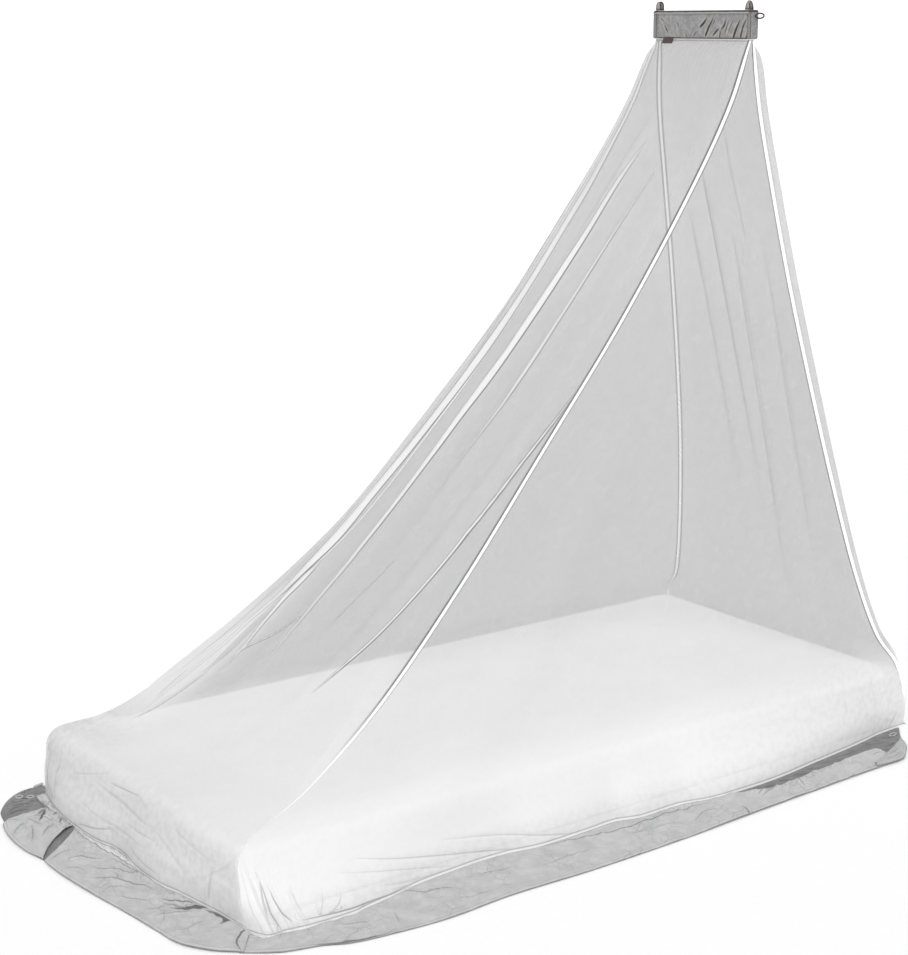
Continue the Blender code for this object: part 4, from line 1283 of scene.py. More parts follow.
def panel_lines(bands, grid, levels, shares):
    """A panel's bands of (level, share, half width) as lines of points on it."""
    tall = np.linalg.norm(np.diff(grid[:, grid.shape[1] // 2], axis=0), axis=1).sum()
    wide = np.linalg.norm(grid[len(grid) // 2, -1] - grid[len(grid) // 2, 0])
    lines = []
    for band in bands:
        path, halves = [], []
        for level, share, half in smooth_points(band.points, (tall, wide), PLEAT_STEP):
            row = np.interp(level, levels, np.arange(len(levels)))
            column = np.interp(share, shares, np.arange(len(shares)))
            first_row, first_column = min(int(row), len(levels) - 2), min(int(column), len(shares) - 2)
            part_row, part_column = row - first_row, column - first_column
            above = grid[first_row, first_column : first_column + 2]
            below = grid[first_row + 1, first_column : first_column + 2]
            pair = above * (1 - part_row) + below * part_row
            path.append(pair[0] * (1 - part_column) + pair[1] * part_column)
            halves.append(max(half, 0))
        lines.append(Line(band.show, band.relief, np.array(path), np.array(halves)))
    return lines


def where_thin(panel, levels, shares):
    """How thin a panel is: 1 where it is stretched past its tape, below 0 where the pouch gathers it."""
    rows, columns = levels[:, None], shares[None, :]
    gathered_in = -0.55 * (1 - ease(0.0, 0.40, rows)) * np.ones_like(columns)
    if panel.name == "net_foot":
        return gathered_in + ease(0.87, 0.93, columns) * (1 - ease(0.70, 0.78, rows))
    if panel.name == "net_head":
        return gathered_in + (1 - ease(0.06, 0.13, columns)) * (1 - ease(0.70, 0.82, rows))
    return gathered_in


def where_gathered(panel, levels, shares):
    """From 0 to 1, where a panel is gathered thick over the mattress."""
    rows, columns = levels[:, None], shares[None, :]
    if panel.name == "net_foot":
        foot_side = ease(0.76, 0.85, rows) * np.ones_like(columns)
        corner = ease(0.70, 0.75, rows) * ease(0.86, 0.93, columns)
        fringe = 0.75 * ease(0.48, 0.62, rows) * ease(0.66, 0.88, columns)
        return np.maximum(foot_side, np.maximum(corner, fringe))
    if panel.name == "net_near":
        near_side = 0.92 * ease(0.69, 0.85, rows) * np.ones_like(columns)
        bundle = ease(0.76, 0.86, rows) * (1 - ease(0.03, 0.09, columns))
        head_end = ease(0.72, 0.84, rows) * ease(0.90, 0.95, columns)
        return np.maximum(near_side, np.maximum(bundle, head_end))
    if panel.name == "net_head":
        return ease(0.70, 0.82, rows) * (1 - ease(0.15, 0.30, columns))
    return np.zeros((len(levels), len(shares)))


def where_shaded(panel, levels, shares):
    """From 0 to 1, where the gathered cloth of a panel hangs in its own shade."""
    rows, columns = levels[:, None], shares[None, :]
    if panel.name == "net_foot":
        return ease(0.68, 0.80, rows) * (0.62 + 0.38 * ease(0.05, 0.40, columns))
    if panel.name == "net_near":
        return 0.10 + 0.45 * ease(0.90, 1.0, rows) + 0.40 * ease(0.55, 0.95, columns)
    return np.zeros((len(levels), len(shares)))


def where_painted_bed_light(panel, levels, shares):
    """From 0 to 1, where a panel hangs close over the bed and is painted lighter with the bed's light."""
    if panel.name == "net_near":
        below = levels[:, None] - np.interp(shares, *zip(*NEAR_CLEAR_FROM))[None, :]
        return 0.5 * ease(0.0, 0.035, below) + 0.5 * ease(0.0, 0.32, below)
    if panel.name == "net_foot":
        below = levels[:, None] - np.interp(shares, *zip(*FOOT_CLEAR_FROM))[None, :]
        by_seam = 1 - ease(0.0, 0.45, shares)[None, :]
        return 0.65 * ease(0.0, 0.035, below) + 0.5 * ease(0.0, 0.32, below) * by_seam
    return np.zeros((len(levels), len(shares)))


def tape_shade_showing(panel, levels, shares):
    """How plain the painted shade beside a tape is: it fades where the net is gathered over the tape."""
    shown = {
        NEAR_FOOT: 1 - ease(0.58, 0.69, levels),
        NEAR_HEAD: 1 - ease(0.74, 0.86, levels),
        FAR_FOOT: 0.7 * (1 - ease(0.55, 0.70, levels)),
        FAR_HEAD: 0.8 * (1 - ease(0.70, 0.82, levels)),
    }
    first_half = (shares < 0.5)[None, :]
    return np.where(first_half, shown[panel.first][:, None], shown[panel.last][:, None])


def net_surface(panel):
    """The points of a hanging panel with its pleats, and the marks that its material reads."""
    levels = np.linspace(0, 1, panel.rows + 1)
    shares = panel_shares(panel)
    grid, normals, width = panel_grid(panel, levels, shares)
    shape = grid.shape[:2]
    face_tall = np.linalg.norm(grid[1, 0] - grid[0, 0])
    face_wide = width.mean() / panel.columns
    cell = 0.55 * face_tall + 0.45 * face_wide
    spots = grid.reshape(-1, 3)
    facing = normals.reshape(-1, 3)
    marks = {}
    lift = np.zeros(len(spots))
    for family, bands in (("pleat", panel.pleats), ("crease", panel.creases)):
        found = mark_lines(spots, facing, panel_lines(bands, grid, levels, shares), cell)
        marks.update(line_marks_named(family, found, shape))
        lift += found.lift
    free = np.minimum(np.minimum(shares, 1 - shares) / PLEAT_FREE, 1)[None, :]
    free = free * np.minimum((1 - levels) / PLEAT_FREE, 1)[:, None]
    grid = grid + normals * (lift.reshape(shape) * free)[:, :, None]
    grid[-1, :, 2] = MATTRESS_LOW.z + NET_LIFT
    halves = np.array([tape_half(level) for level in levels])
    over = row_lengths(grid)
    from_seam = np.minimum(over, over[:, -1:] - over)
    from_tape = from_seam - (1 - SEAM_TUCK) * halves[:, None] - SEAM_LINE_AT
    tall = np.linalg.norm(np.diff(grid, axis=0), axis=2)
    from_top = np.pad(np.cumsum(tall, axis=0), ((1, 0), (0, 0)))
    from_floor = from_top[-1:] - from_top
    marks["seam_edge"] = np.minimum(from_tape, NET_REACH)
    marks["tape_shade_show"] = tape_shade_showing(panel, levels, shares)
    from_hem = np.minimum(from_floor, from_top + TOP_HEM_LESS)
    marks["hem_height"] = np.minimum(from_hem, 4 * NET_REACH)
    marks["thin"] = where_thin(panel, levels, shares)
    marks["gathered"] = where_gathered(panel, levels, shares)
    marks["clear"] = where_painted_bed_light(panel, levels, shares)
    marks["shaded"] = where_shaded(panel, levels, shares)
    return grid, marks


def let_light_through(piece):
    """Real net takes next to no light from what is behind it, so it casts no shadow here."""
    piece.visible_shadow = False
    piece.visible_diffuse = False


def make_net(settings):
    paint = netting_material(settings)
    for panel in PANELS:
        grid, marks = net_surface(panel)
        piece = cloth(f"{panel.name}_cloth", grid, panel.outward, marks)
        place(piece, [panel.name], paint)
        let_light_through(piece)


TAPE_ROWS = 240
TAPE_COLUMNS = 4
TAPE_CROWN = 0.5 * MM
# The levels from which a tape is lost to sight behind the gathered net.
TAPE_HIDDEN_FROM = {NEAR_FOOT: 0.60, NEAR_HEAD: 0.88, FAR_FOOT: 0.70, FAR_HEAD: 0.84}


def make_tapes(settings):
    paint = tape_material(settings)
    levels = [row / TAPE_ROWS for row in range(TAPE_ROWS + 1)]
    over = [2 * column / TAPE_COLUMNS - 1 for column in range(TAPE_COLUMNS + 1)]
    for end in SEAMS:
        for side, sign in SIDES.items():
            rows = []
            for level in levels:
                across = tape_direction(end, side, level) * tape_half(level)
                middle = seam_corner(end, side, level)
                middle.y -= sign * COVERED_DEPTH * covered((end, side), level)
                crown = Vector((0, sign * TAPE_CROWN, 0))
                rows.append([middle + across * w + crown * (1 - w * w) for w in over])
            grid = np.array(rows)
            name = f"tape_{end}_{side}"
            start = TAPE_HIDDEN_FROM[(end, side)]
            hidden = ease(start, start + TAPE_FADE, np.array(levels))
            marks = {"hidden": np.repeat(hidden[:, None], len(over), axis=1)}
            piece = cloth(f"{name}_ribbon", grid, (0, sign, 0), marks)
            thicken(piece, settings.tape_thick, 0)
            place(piece, [name], paint)


# The skirt -------------------------------------------------------------------------------------------------

SKIRT_LIFT = 1.6 * MM  # where the skirt lies on a dark corner piece or on the next length
FLOOR_LINE_STEP = 4 * MM

# The rows of a skirt length run out from the net: t counts along it, share is where a row starts at the foot
# of its net panel, and (along, across) is where it ends at the outer edge. bow bends a row sideways.
SkirtRow = namedtuple("SkirtRow", "t share along across bow")
NEAR_ROWS = (
    SkirtRow(0.0, 0.002, -0.070, -0.554, 0.0),
    SkirtRow(0.035, 0.035, -0.003, -0.601, 0.0),
    SkirtRow(0.075, 0.070, 0.083, -0.627, 0.0),
    SkirtRow(0.10, 0.095, 0.133, -0.651, 0.0),
    SkirtRow(0.15, 0.140, 0.221, -0.667, 0.0),
    SkirtRow(0.22, 0.205, 0.365, -0.679, 0.0),
    SkirtRow(0.31, 0.290, 0.534, -0.669, 0.0),
    SkirtRow(0.43, 0.400, 0.767, -0.675, 0.0),
    SkirtRow(0.60, 0.560, 1.081, -0.668, 0.0),
    SkirtRow(0.69, 0.645, 1.257, -0.658, 0.0),
    SkirtRow(0.82, 0.762, 1.502, -0.646, 0.0),
    SkirtRow(0.92, 0.845, 1.680, -0.638, 0.0),
    SkirtRow(1.0, 0.905, 1.836, -0.633, 0.0),
)
FOOT_ROWS = (
    SkirtRow(0.0, 0.002, -0.062, -0.559, 0.0),
    SkirtRow(0.05, 0.020, -0.112, -0.512, 0.0),
    SkirtRow(0.10, 0.050, -0.147, -0.455, 0.0),
    SkirtRow(0.25, 0.160, -0.158, -0.372, 0.0),
    SkirtRow(0.45, 0.330, -0.170, -0.255, 0.0),
    SkirtRow(0.65, 0.490, -0.188, -0.120, 0.0),
    SkirtRow(0.82, 0.610, -0.198, -0.015, 0.0),
    SkirtRow(0.94, 0.695, -0.200, 0.060, -0.002),
    SkirtRow(1.0, 0.727, -0.198, 0.089, -0.005),
)
FOOT_CORNER_ROWS = (
    SkirtRow(0.0, 0.742, -0.197, 0.098, 0.014),
    SkirtRow(0.22, 0.780, -0.209, 0.165, 0.004),
    SkirtRow(0.44, 0.820, -0.209, 0.240, 0.0),
    SkirtRow(0.60, 0.846, -0.197, 0.308, 0.0),
    SkirtRow(0.68, 0.856, -0.180, 0.345, 0.0),
    SkirtRow(0.76, 0.861, -0.127, 0.359, 0.0),
    SkirtRow(0.84, 0.867, -0.085, 0.360, 0.0),
    SkirtRow(0.90, 0.880, -0.064, 0.373, 0.0),
    SkirtRow(0.95, 0.918, -0.062, 0.412, 0.0),
    SkirtRow(1.0, 0.960, -0.054, 0.448, 0.0),
)
FAR_ROWS = (
    SkirtRow(0.0, 0.012, 0.020, 0.505, 0.0),
    SkirtRow(0.08, 0.090, 0.130, 0.590, 0.0),
    SkirtRow(0.30, 0.306, 0.600, 0.640, 0.0),
    SkirtRow(0.60, 0.600, 1.200, 0.628, 0.0),
    SkirtRow(0.90, 0.894, 1.850, 0.636, 0.0),
    SkirtRow(1.0, 0.992, 2.084, 0.590, 0.0),
)
HEAD_ROWS = (
    SkirtRow(0.0, 0.030, 2.040, -0.462, 0.0),
    SkirtRow(0.15, 0.172, 2.080, -0.320, 0.0),
    SkirtRow(0.40, 0.408, 2.150, -0.080, 0.0),
    SkirtRow(0.75, 0.738, 2.160, 0.280, 0.0),
    SkirtRow(1.0, 0.974, 2.094, 0.584, 0.0),
)

# Light hem strips, with a painted shade line along both edges, as bands of (along, across, half width).
FOOT_STRIPS = (
    Band(0.95, 0.002, (
        (-0.065, 0.215, 0.0016), (-0.068, 0.160, 0.0052), (-0.066, 0.117, 0.0060), (-0.060, 0.060, 0.0105),
        (-0.054, 0.015, 0.0090), (-0.050, -0.030, 0.0060), (-0.047, -0.066, 0.0016),
    )),
)
FOOT_VEINS = (
    Band(0.60, 0.003, (
        (-0.162, -0.066, 0.0004), (-0.119, -0.092, 0.0012), (-0.094, -0.147, 0.0012),
        (-0.071, -0.180, 0.0006),
    )),
    Band(0.45, 0.003, (
        (-0.076, 0.001, 0.0005), (-0.067, -0.039, 0.0012), (-0.061, -0.076, 0.0012), (-0.056, -0.124, 0.0010),
        (-0.054, -0.156, 0.0004),
    )),
    Band(0.55, 0.003, (
        (-0.159, 0.057, 0.0005), (-0.140, 0.054, 0.0013), (-0.127, 0.050, 0.0013), (-0.115, 0.030, 0.0012),
        (-0.094, 0.014, 0.0004),
    )),
    Band(0.50, 0.002, (
        (-0.129, -0.015, 0.0005), (-0.115, -0.036, 0.0011), (-0.089, -0.050, 0.0012),
        (-0.075, -0.087, 0.0012), (-0.060, -0.084, 0.0004),
    )),
    Band(0.40, 0.002, ((-0.115, -0.100, 0.0004), (-0.103, -0.082, 0.0011), (-0.105, -0.062, 0.0004))),
    Band(0.45, 0.003, ((-0.150, -0.178, 0.0004), (-0.132, -0.212, 0.0012), (-0.112, -0.236, 0.0004))),
    Band(0.75, 0.003, ((-0.082, -0.248, 0.0006), (-0.058, -0.276, 0.0016), (-0.033, -0.304, 0.0008))),
    Band(0.45, -0.002, ((-0.084, -0.257, 0.0010), (-0.069, -0.288, 0.0030), (-0.050, -0.312, 0.0012))),
    Band(0.95, -0.003, (
        (-0.086, -0.290, 0.0010), (-0.060, -0.310, 0.0080), (-0.034, -0.325, 0.0092),
        (-0.012, -0.345, 0.0020),
    )),
    Band(0.95, -0.003, (
        (-0.034, -0.350, 0.0012), (-0.022, -0.372, 0.0075), (-0.016, -0.394, 0.0085),
        (-0.020, -0.414, 0.0070), (-0.042, -0.425, 0.0012),
    )),
    Band(0.35, 0.004, ((-0.131, -0.312, 0.0006), (-0.095, -0.323, 0.0014), (-0.063, -0.341, 0.0006))),
    Band(0.85, -0.002, (
        (0.004, -0.432, 0.0006), (-0.003, -0.468, 0.0014), (-0.030, -0.491, 0.0016), (-0.056, -0.518, 0.0014),
        (-0.064, -0.548, 0.0006),
    )),
    Band(0.55, -0.001, ((-0.187, 0.083, 0.0006), (-0.150, 0.098, 0.0012), (-0.130, 0.098, 0.0005))),
    Band(0.30, 0.003, ((-0.170, -0.140, 0.0004), (-0.140, -0.128, 0.0012), (-0.115, -0.150, 0.0004))),
    Band(0.30, 0.003, ((-0.135, -0.270, 0.0004), (-0.110, -0.282, 0.0012), (-0.090, -0.272, 0.0004))),
    Band(0.25, 0.003, ((-0.140, -0.390, 0.0004), (-0.100, -0.402, 0.0012), (-0.062, -0.392, 0.0004))),
    Band(0.30, 0.003, ((-0.185, 0.020, 0.0004), (-0.165, 0.008, 0.0012), (-0.150, -0.018, 0.0004))),
)
FOOT_CORNER_STRIPS = (
    Band(0.75, 0.004, (
        (-0.058, 0.262, 0.0008), (-0.062, 0.300, 0.0040), (-0.060, 0.345, 0.0044),
        (-0.056, 0.395, 0.0012),
    )),
    Band(0.55, 0.004, ((-0.088, 0.270, 0.0008), (-0.092, 0.300, 0.0030), (-0.104, 0.335, 0.0012))),
    Band(0.55, 0.003, ((-0.150, 0.325, 0.0008), (-0.160, 0.342, 0.0032), (-0.176, 0.350, 0.0012))),
)
FOOT_CORNER_VEINS = (
    Band(0.95, -0.004, ((-0.072, 0.355, 0.0010), (-0.091, 0.326, 0.0034), (-0.112, 0.300, 0.0010))),
    Band(0.75, -0.003, ((-0.109, 0.329, 0.0006), (-0.092, 0.342, 0.0018), (-0.077, 0.353, 0.0008))),
    Band(0.85, -0.003, ((-0.075, 0.303, 0.0008), (-0.064, 0.311, 0.0022), (-0.056, 0.308, 0.0008))),
    Band(0.75, -0.003, ((-0.079, 0.262, 0.0006), (-0.070, 0.274, 0.0018), (-0.063, 0.284, 0.0006))),
    Band(0.75, -0.003, ((-0.051, 0.298, 0.0006), (-0.056, 0.280, 0.0018), (-0.063, 0.261, 0.0006))),
    Band(0.65, -0.003, ((-0.054, 0.265, 0.0006), (-0.060, 0.250, 0.0016), (-0.067, 0.234, 0.0006))),
    Band(0.45, 0.004, ((-0.150, 0.205, 0.0004), (-0.120, 0.240, 0.0012), (-0.098, 0.250, 0.0004))),
    Band(0.40, 0.004, ((-0.182, 0.190, 0.0004), (-0.160, 0.232, 0.0012), (-0.140, 0.282, 0.0004))),
    Band(0.40, 0.004, ((-0.196, 0.260, 0.0004), (-0.172, 0.286, 0.0012), (-0.150, 0.300, 0.0004))),
    Band(0.45, 0.003, ((-0.116, 0.268, 0.0004), (-0.126, 0.300, 0.0012), (-0.132, 0.330, 0.0004))),
    Band(0.60, -0.002, ((-0.066, 0.330, 0.0005), (-0.064, 0.372, 0.0012), (-0.056, 0.410, 0.0005))),
)
NEAR_STRIPS = (
    Band(0.55, 0.003, (
        (0.040, -0.491, 0.0006), (0.062, -0.493, 0.0022), (0.078, -0.486, 0.0022),
        (0.079, -0.466, 0.0006),
    )),
    Band(0.45, 0.003, (
        (0.012, -0.447, 0.0006), (0.031, -0.446, 0.0020), (0.040, -0.462, 0.0020),
        (0.043, -0.480, 0.0006),
    )),
)
NEAR_VEINS = (
    Band(0.75, -0.002, ((-0.030, -0.492, 0.0006), (-0.009, -0.492, 0.0014), (0.017, -0.469, 0.0006))),
    Band(0.60, -0.002, ((0.017, -0.464, 0.0005), (0.008, -0.490, 0.0012), (-0.001, -0.512, 0.0005))),
    Band(0.80, -0.002, (
        (0.060, -0.612, 0.0005), (0.110, -0.638, 0.0022), (0.160, -0.652, 0.0022),
        (0.240, -0.664, 0.0005),
    )),
    Band(0.45, 0.003, (
        (0.354, -0.521, 0.0006), (0.381, -0.549, 0.0014), (0.433, -0.559, 0.0012),
        (0.463, -0.582, 0.0004),
    )),
    Band(0.28, 0.003, ((0.281, -0.596, 0.0005), (0.270, -0.622, 0.0012), (0.262, -0.640, 0.0005))),
    Band(0.70, -0.001, (
        (0.740, -0.506, 0.0006), (0.818, -0.527, 0.0013), (0.910, -0.542, 0.0013), (0.982, -0.547, 0.0013),
        (1.036, -0.545, 0.0012), (1.091, -0.543, 0.0012), (1.144, -0.544, 0.0012), (1.230, -0.555, 0.0005),
    )),
    Band(0.28, -0.001, ((0.955, -0.577, 0.0005), (1.016, -0.585, 0.0012), (1.097, -0.594, 0.0005))),
    Band(0.80, -0.001, ((1.280, -0.618, 0.0005), (1.272, -0.640, 0.0012), (1.258, -0.661, 0.0008))),
    Band(0.60, 0.002, ((1.358, -0.590, 0.0005), (1.404, -0.568, 0.0013), (1.431, -0.565, 0.0005))),
    Band(0.50, 0.002, ((1.361, -0.602, 0.0005), (1.400, -0.590, 0.0011), (1.441, -0.576, 0.0005))),
    Band(0.50, 0.002, ((1.508, -0.574, 0.0005), (1.500, -0.596, 0.0012), (1.490, -0.620, 0.0005))),
    Band(0.40, 0.002, ((1.614, -0.645, 0.0005), (1.630, -0.641, 0.0012), (1.647, -0.636, 0.0005))),
    Band(0.45, 0.002, ((1.780, -0.578, 0.0005), (1.795, -0.576, 0.0012), (1.812, -0.574, 0.0005))),
    Band(0.30, 0.003, ((0.520, -0.540, 0.0004), (0.570, -0.560, 0.0012), (0.640, -0.566, 0.0004))),
    Band(0.30, 0.003, ((0.150, -0.575, 0.0004), (0.190, -0.590, 0.0012), (0.220, -0.600, 0.0004))),
    Band(0.25, 0.003, ((0.700, -0.600, 0.0004), (0.760, -0.590, 0.0012), (0.850, -0.600, 0.0004))),
    Band(0.30, 0.003, ((1.130, -0.610, 0.0004), (1.180, -0.590, 0.0012), (1.220, -0.600, 0.0004))),
    Band(0.22, 0.003, ((0.420, -0.620, 0.0004), (0.480, -0.632, 0.0012), (0.560, -0.628, 0.0004))),
)

# The skirt's lengths: how many puckers run along the net and how high they rise. From the share "lift" of
# its net panel on, a length lies on the piece under it.
Skirt = namedtuple("Skirt", "name panel table rows columns waves rise lift strips veins")
SKIRTS = (
    Skirt("skirt_near", "net_near", NEAR_ROWS, 620, 44, 34, 0.005, 0.60, NEAR_STRIPS, NEAR_VEINS),
    Skirt("skirt_foot", "net_foot", FOOT_ROWS, 230, 54, 30, 0.0045, 0.50, FOOT_STRIPS, FOOT_VEINS),
    Skirt(
        "skirt_foot_corner", "net_foot", FOOT_CORNER_ROWS, 190, 50, 13, 0.006, 0.0,
        FOOT_CORNER_STRIPS, FOOT_CORNER_VEINS,
    ),
    Skirt("skirt_far", "net_far", FAR_ROWS, 300, 24, 30, 0.008, None, (), ()),
    Skirt("skirt_head", "net_head", HEAD_ROWS, 160, 24, 17, 0.007, None, (), ()),
)
# Where across a length its puckers are highest, and how far they reach, as shares of its width, and how
# sharp their crests are.
PUCKER_AT = 0.18
PUCKER_WIDE = 0.22
PUCKER_SHARP = 1.6
SKIRT_TUCK = 4 * MM  # how far a length reaches in under the net
SKIRT_REST = 1.2 * MM  # how high a length lies above the floor
FLOOR_CLOTH_LOWEST = 1.1 * MM
FLOOR_CLOTH_CELL = 3.2 * MM
CORNER_THICK = 0.6 * MM

# The random crumple of a length: how high, and how wide its creases are.
Crumple = namedtuple("Crumple", "height seed size")
SKIRT_CRUMPLES = (Crumple(4.6 * MM, 2.0, 0.11), Crumple(2.4 * MM, 9.0, 0.035))

# How far the near length stays back from the net, where the dark corner piece, a painted shade, shows
# between them: each row adds to the distance between two shares.
Recess = namedtuple("Recess", "deep start stop")
NEAR_RECESS = (
    Recess(15 * MM, 0.655, 0.675),
    Recess(22 * MM, 0.675, 0.71),
    Recess(6 * MM, 0.76, 0.82),
    Recess(6 * MM, 0.87, 0.905),
)


def light_recess(skirt, share):
    """How far a length stays back from the net, below zero where it reaches in under it."""
    recess = -SKIRT_TUCK
    if skirt.name == "skirt_near":
        for row in NEAR_RECESS:
            recess += row.deep * ease(row.start, row.stop, share)
    return recess


def net_foot_point(panel, share):
    """A point on the floor at the foot of a net panel."""
    start = panel_edge(panel, panel.first, 1)
    stop = panel_edge(panel, panel.last, 1)
    return start.lerp(stop, share) + panel.outward * read(panel.flare, share)[0]


def crumple(x, y, seed, size):
    """Sharp-crested random relief from 0 to 1, as in cloth that was packed small."""
    value, reach, total = 0.0, 1.0, 0.0
    for octave in range(3):
        spot = Vector((x / size, y / size, seed + 7.3 * octave))
        value += reach * (1 - abs(noise.noise(spot)) * 2.2)
        total += reach
        reach *= 0.5
        size *= 0.47
    return max(value / total, 0)


def pucker(skirt, share, run, w):
    """Gathers that run out from the net and die away before the outer edge. Each has its own height."""
    wander = noise.noise(Vector((run * 7, w * 1.5, 3.1))) * 1.4
    phase = skirt.waves * share + wander + 0.35 * sin(11 * share)
    crest = 1 - abs((phase % 1.0) * 2 - 1)
    uneven = 0.55 + 0.9 * abs(noise.noise(Vector((phase // 1.0 * 1.7, 0.4, 8.2))))
    fade = exp(-(((w - PUCKER_AT) / PUCKER_WIDE) ** 2)) * min(w / 0.1, 1)
    return crest**PUCKER_SHARP * uneven * fade


def gather_show(skirt, share, distance):
    """How plain the fine gathers and their painted shade show at a distance from the net."""
    by_net = 1 - ease(0.012, 0.050, distance)
    if skirt.name == "skirt_foot":
        return 0.9 * by_net * ease(0.15, 0.22, share)
    if skirt.name == "skirt_foot_corner":
        return 1 - 0.85 * ease(0.030, 0.085, distance)
    if skirt.name == "skirt_near":
        corner = 1 - ease(0.06, 0.11, share)
        head = ease(0.64, 0.69, share) * (1 - ease(0.80, 0.86, share))
        return (0.6 * corner + 0.9 * head) * (1 - ease(0.010, 0.040, distance))
    return 0.4 * by_net


def over_lift(skirt, share):
    """How far a length is raised by the piece that it lies on."""
    if skirt.lift is None:
        return 0.0
    lift = SKIRT_LIFT * ease(skirt.lift - 0.04, skirt.lift, share)
    if skirt.name == "skirt_foot":
        lift = max(lift, SKIRT_LIFT * (1 - ease(0.05, 0.12, share)))
    return lift


def skirt_surface(skirt):
    """The points of a skirt length before its creases, and the marks that its material reads."""
    panel = next(panel for panel in PANELS if panel.name == skirt.panel)
    rows, inner_distance, outer_distance, gathers = [], [], [], []
    run = 0.0
    previous = None
    for row in range(skirt.rows + 1):
        t = row / skirt.rows
        share, along, across, bow = read(skirt.table, t)
        inner = net_foot_point(panel, share)
        inner.z = MATTRESS_LOW.z
        inner += panel.outward * light_recess(skirt, share)
        outer = at(along, across, 0)
        if previous is not None:
            run += (outer - previous).length
        previous = outer
        wide = (outer - inner).length
        sideways = (outer - inner).cross(Vector((0, 0, 1))).normalized()
        ends = min(t / 0.02, (1 - t) / 0.02, 1)
        base = MATTRESS_LOW.z + SKIRT_REST + over_lift(skirt, share)
        points = []
        for column in range(skirt.columns + 1):
            w = column / skirt.columns
            point = inner.lerp(outer, w) + sideways * (bow * sin(pi * w))
            inside = min(w / 0.10, 1) * min((1 - w) / 0.08 + 0.25, 1)
            rough = 0.0
            for layer in SKIRT_CRUMPLES:
                rough += layer.height * crumple(point.x, point.y, layer.seed, layer.size)
            height = skirt.rise * pucker(skirt, share, run, w) + rough * inside * (0.4 + 0.6 * ends)
            point.z = base + height
            points.append(point)
        rows.append(points)
        from_net = [column / skirt.columns * wide for column in range(skirt.columns + 1)]
        inner_distance.append(from_net)
        outer_distance.append([wide - distance for distance in from_net])
        gathers.append([gather_show(skirt, share, distance) for distance in from_net])
    distances = {"inner_distance": inner_distance, "edge_distance": outer_distance, "gather": gathers}
    return np.array(rows), {mark_name: np.array(values) for mark_name, values in distances.items()}


def crease_floor_cloth(grid, strips, veins, cell):
    """Presses light strips and dark creases into a cloth on the floor, and gives their marks."""
    shape = grid.shape[:2]
    spots = grid.reshape(-1, 3).copy()
    spots[:, 2] = 0
    upward = np.tile((0.0, 0.0, 1.0), (len(spots), 1))
    marks = {}
    for family, bands in (("pleat", strips), ("crease", veins)):
        lines = flat_lines(bands, FLOOR_LINE_STEP, lambda along, across: (MATTRESS_LOW.x + along, across, 0))
        found = mark_lines(spots, upward, lines, cell)
        marks.update(line_marks_named(family, found, shape))
        grid[:, :, 2] += found.lift.reshape(shape)
    grid[:, :, 2] = np.maximum(grid[:, :, 2], MATTRESS_LOW.z + FLOOR_CLOTH_LOWEST)
    return marks


def make_skirt(skirt, settings, paint):
    grid, marks = skirt_surface(skirt)
    marks.update(crease_floor_cloth(grid, skirt.strips, skirt.veins, FLOOR_CLOTH_CELL))
    piece = cloth(f"{skirt.name}_cloth", grid, (0, 0, 1), marks)
    thicken(piece, settings.skirt_thick)
    place(piece, [skirt.name], paint)


CornerRow = namedtuple("CornerRow", "t inner_along inner_across outer_along outer_across")
CORNER_FOOT_FAR = (
    CornerRow(0.0, -0.056, 0.150, -0.186, 0.030),
    CornerRow(0.14, -0.058, 0.230, -0.199, 0.130),
    CornerRow(0.28, -0.050, 0.320, -0.196, 0.250),
    CornerRow(0.42, -0.034, 0.400, -0.172, 0.378),
    CornerRow(0.56, -0.012, 0.438, -0.153, 0.424),
    CornerRow(0.70, -0.006, 0.456, -0.114, 0.472),
    CornerRow(0.84, -0.004, 0.468, -0.068, 0.503),
    CornerRow(0.93, -0.002, 0.474, -0.028, 0.507),
    CornerRow(1.0, 0.002, 0.478, 0.010, 0.492),
)
CORNER_HEAD_NEAR = (
    CornerRow(0.0, 1.300, -0.530, 1.300, -0.600),
    CornerRow(0.18, 1.420, -0.528, 1.420, -0.610),
    CornerRow(0.38, 1.600, -0.512, 1.600, -0.610),
    CornerRow(0.56, 1.760, -0.493, 1.750, -0.616),
    CornerRow(0.74, 1.870, -0.478, 1.850, -0.606),
    CornerRow(0.90, 1.960, -0.466, 1.922, -0.550),
    CornerRow(1.0, 2.010, -0.462, 1.980, -0.492),
)
FLAP = (
    CornerRow(0.0, 1.745, -0.617, 1.733, -0.634),
    CornerRow(0.24, 1.790, -0.598, 1.788, -0.637),
    CornerRow(0.46, 1.830, -0.581, 1.834, -0.633),
    CornerRow(0.68, 1.870, -0.565, 1.880, -0.602),
    CornerRow(0.86, 1.905, -0.549, 1.912, -0.575),
    CornerRow(1.0, 1.936, -0.533, 1.926, -0.546),
)

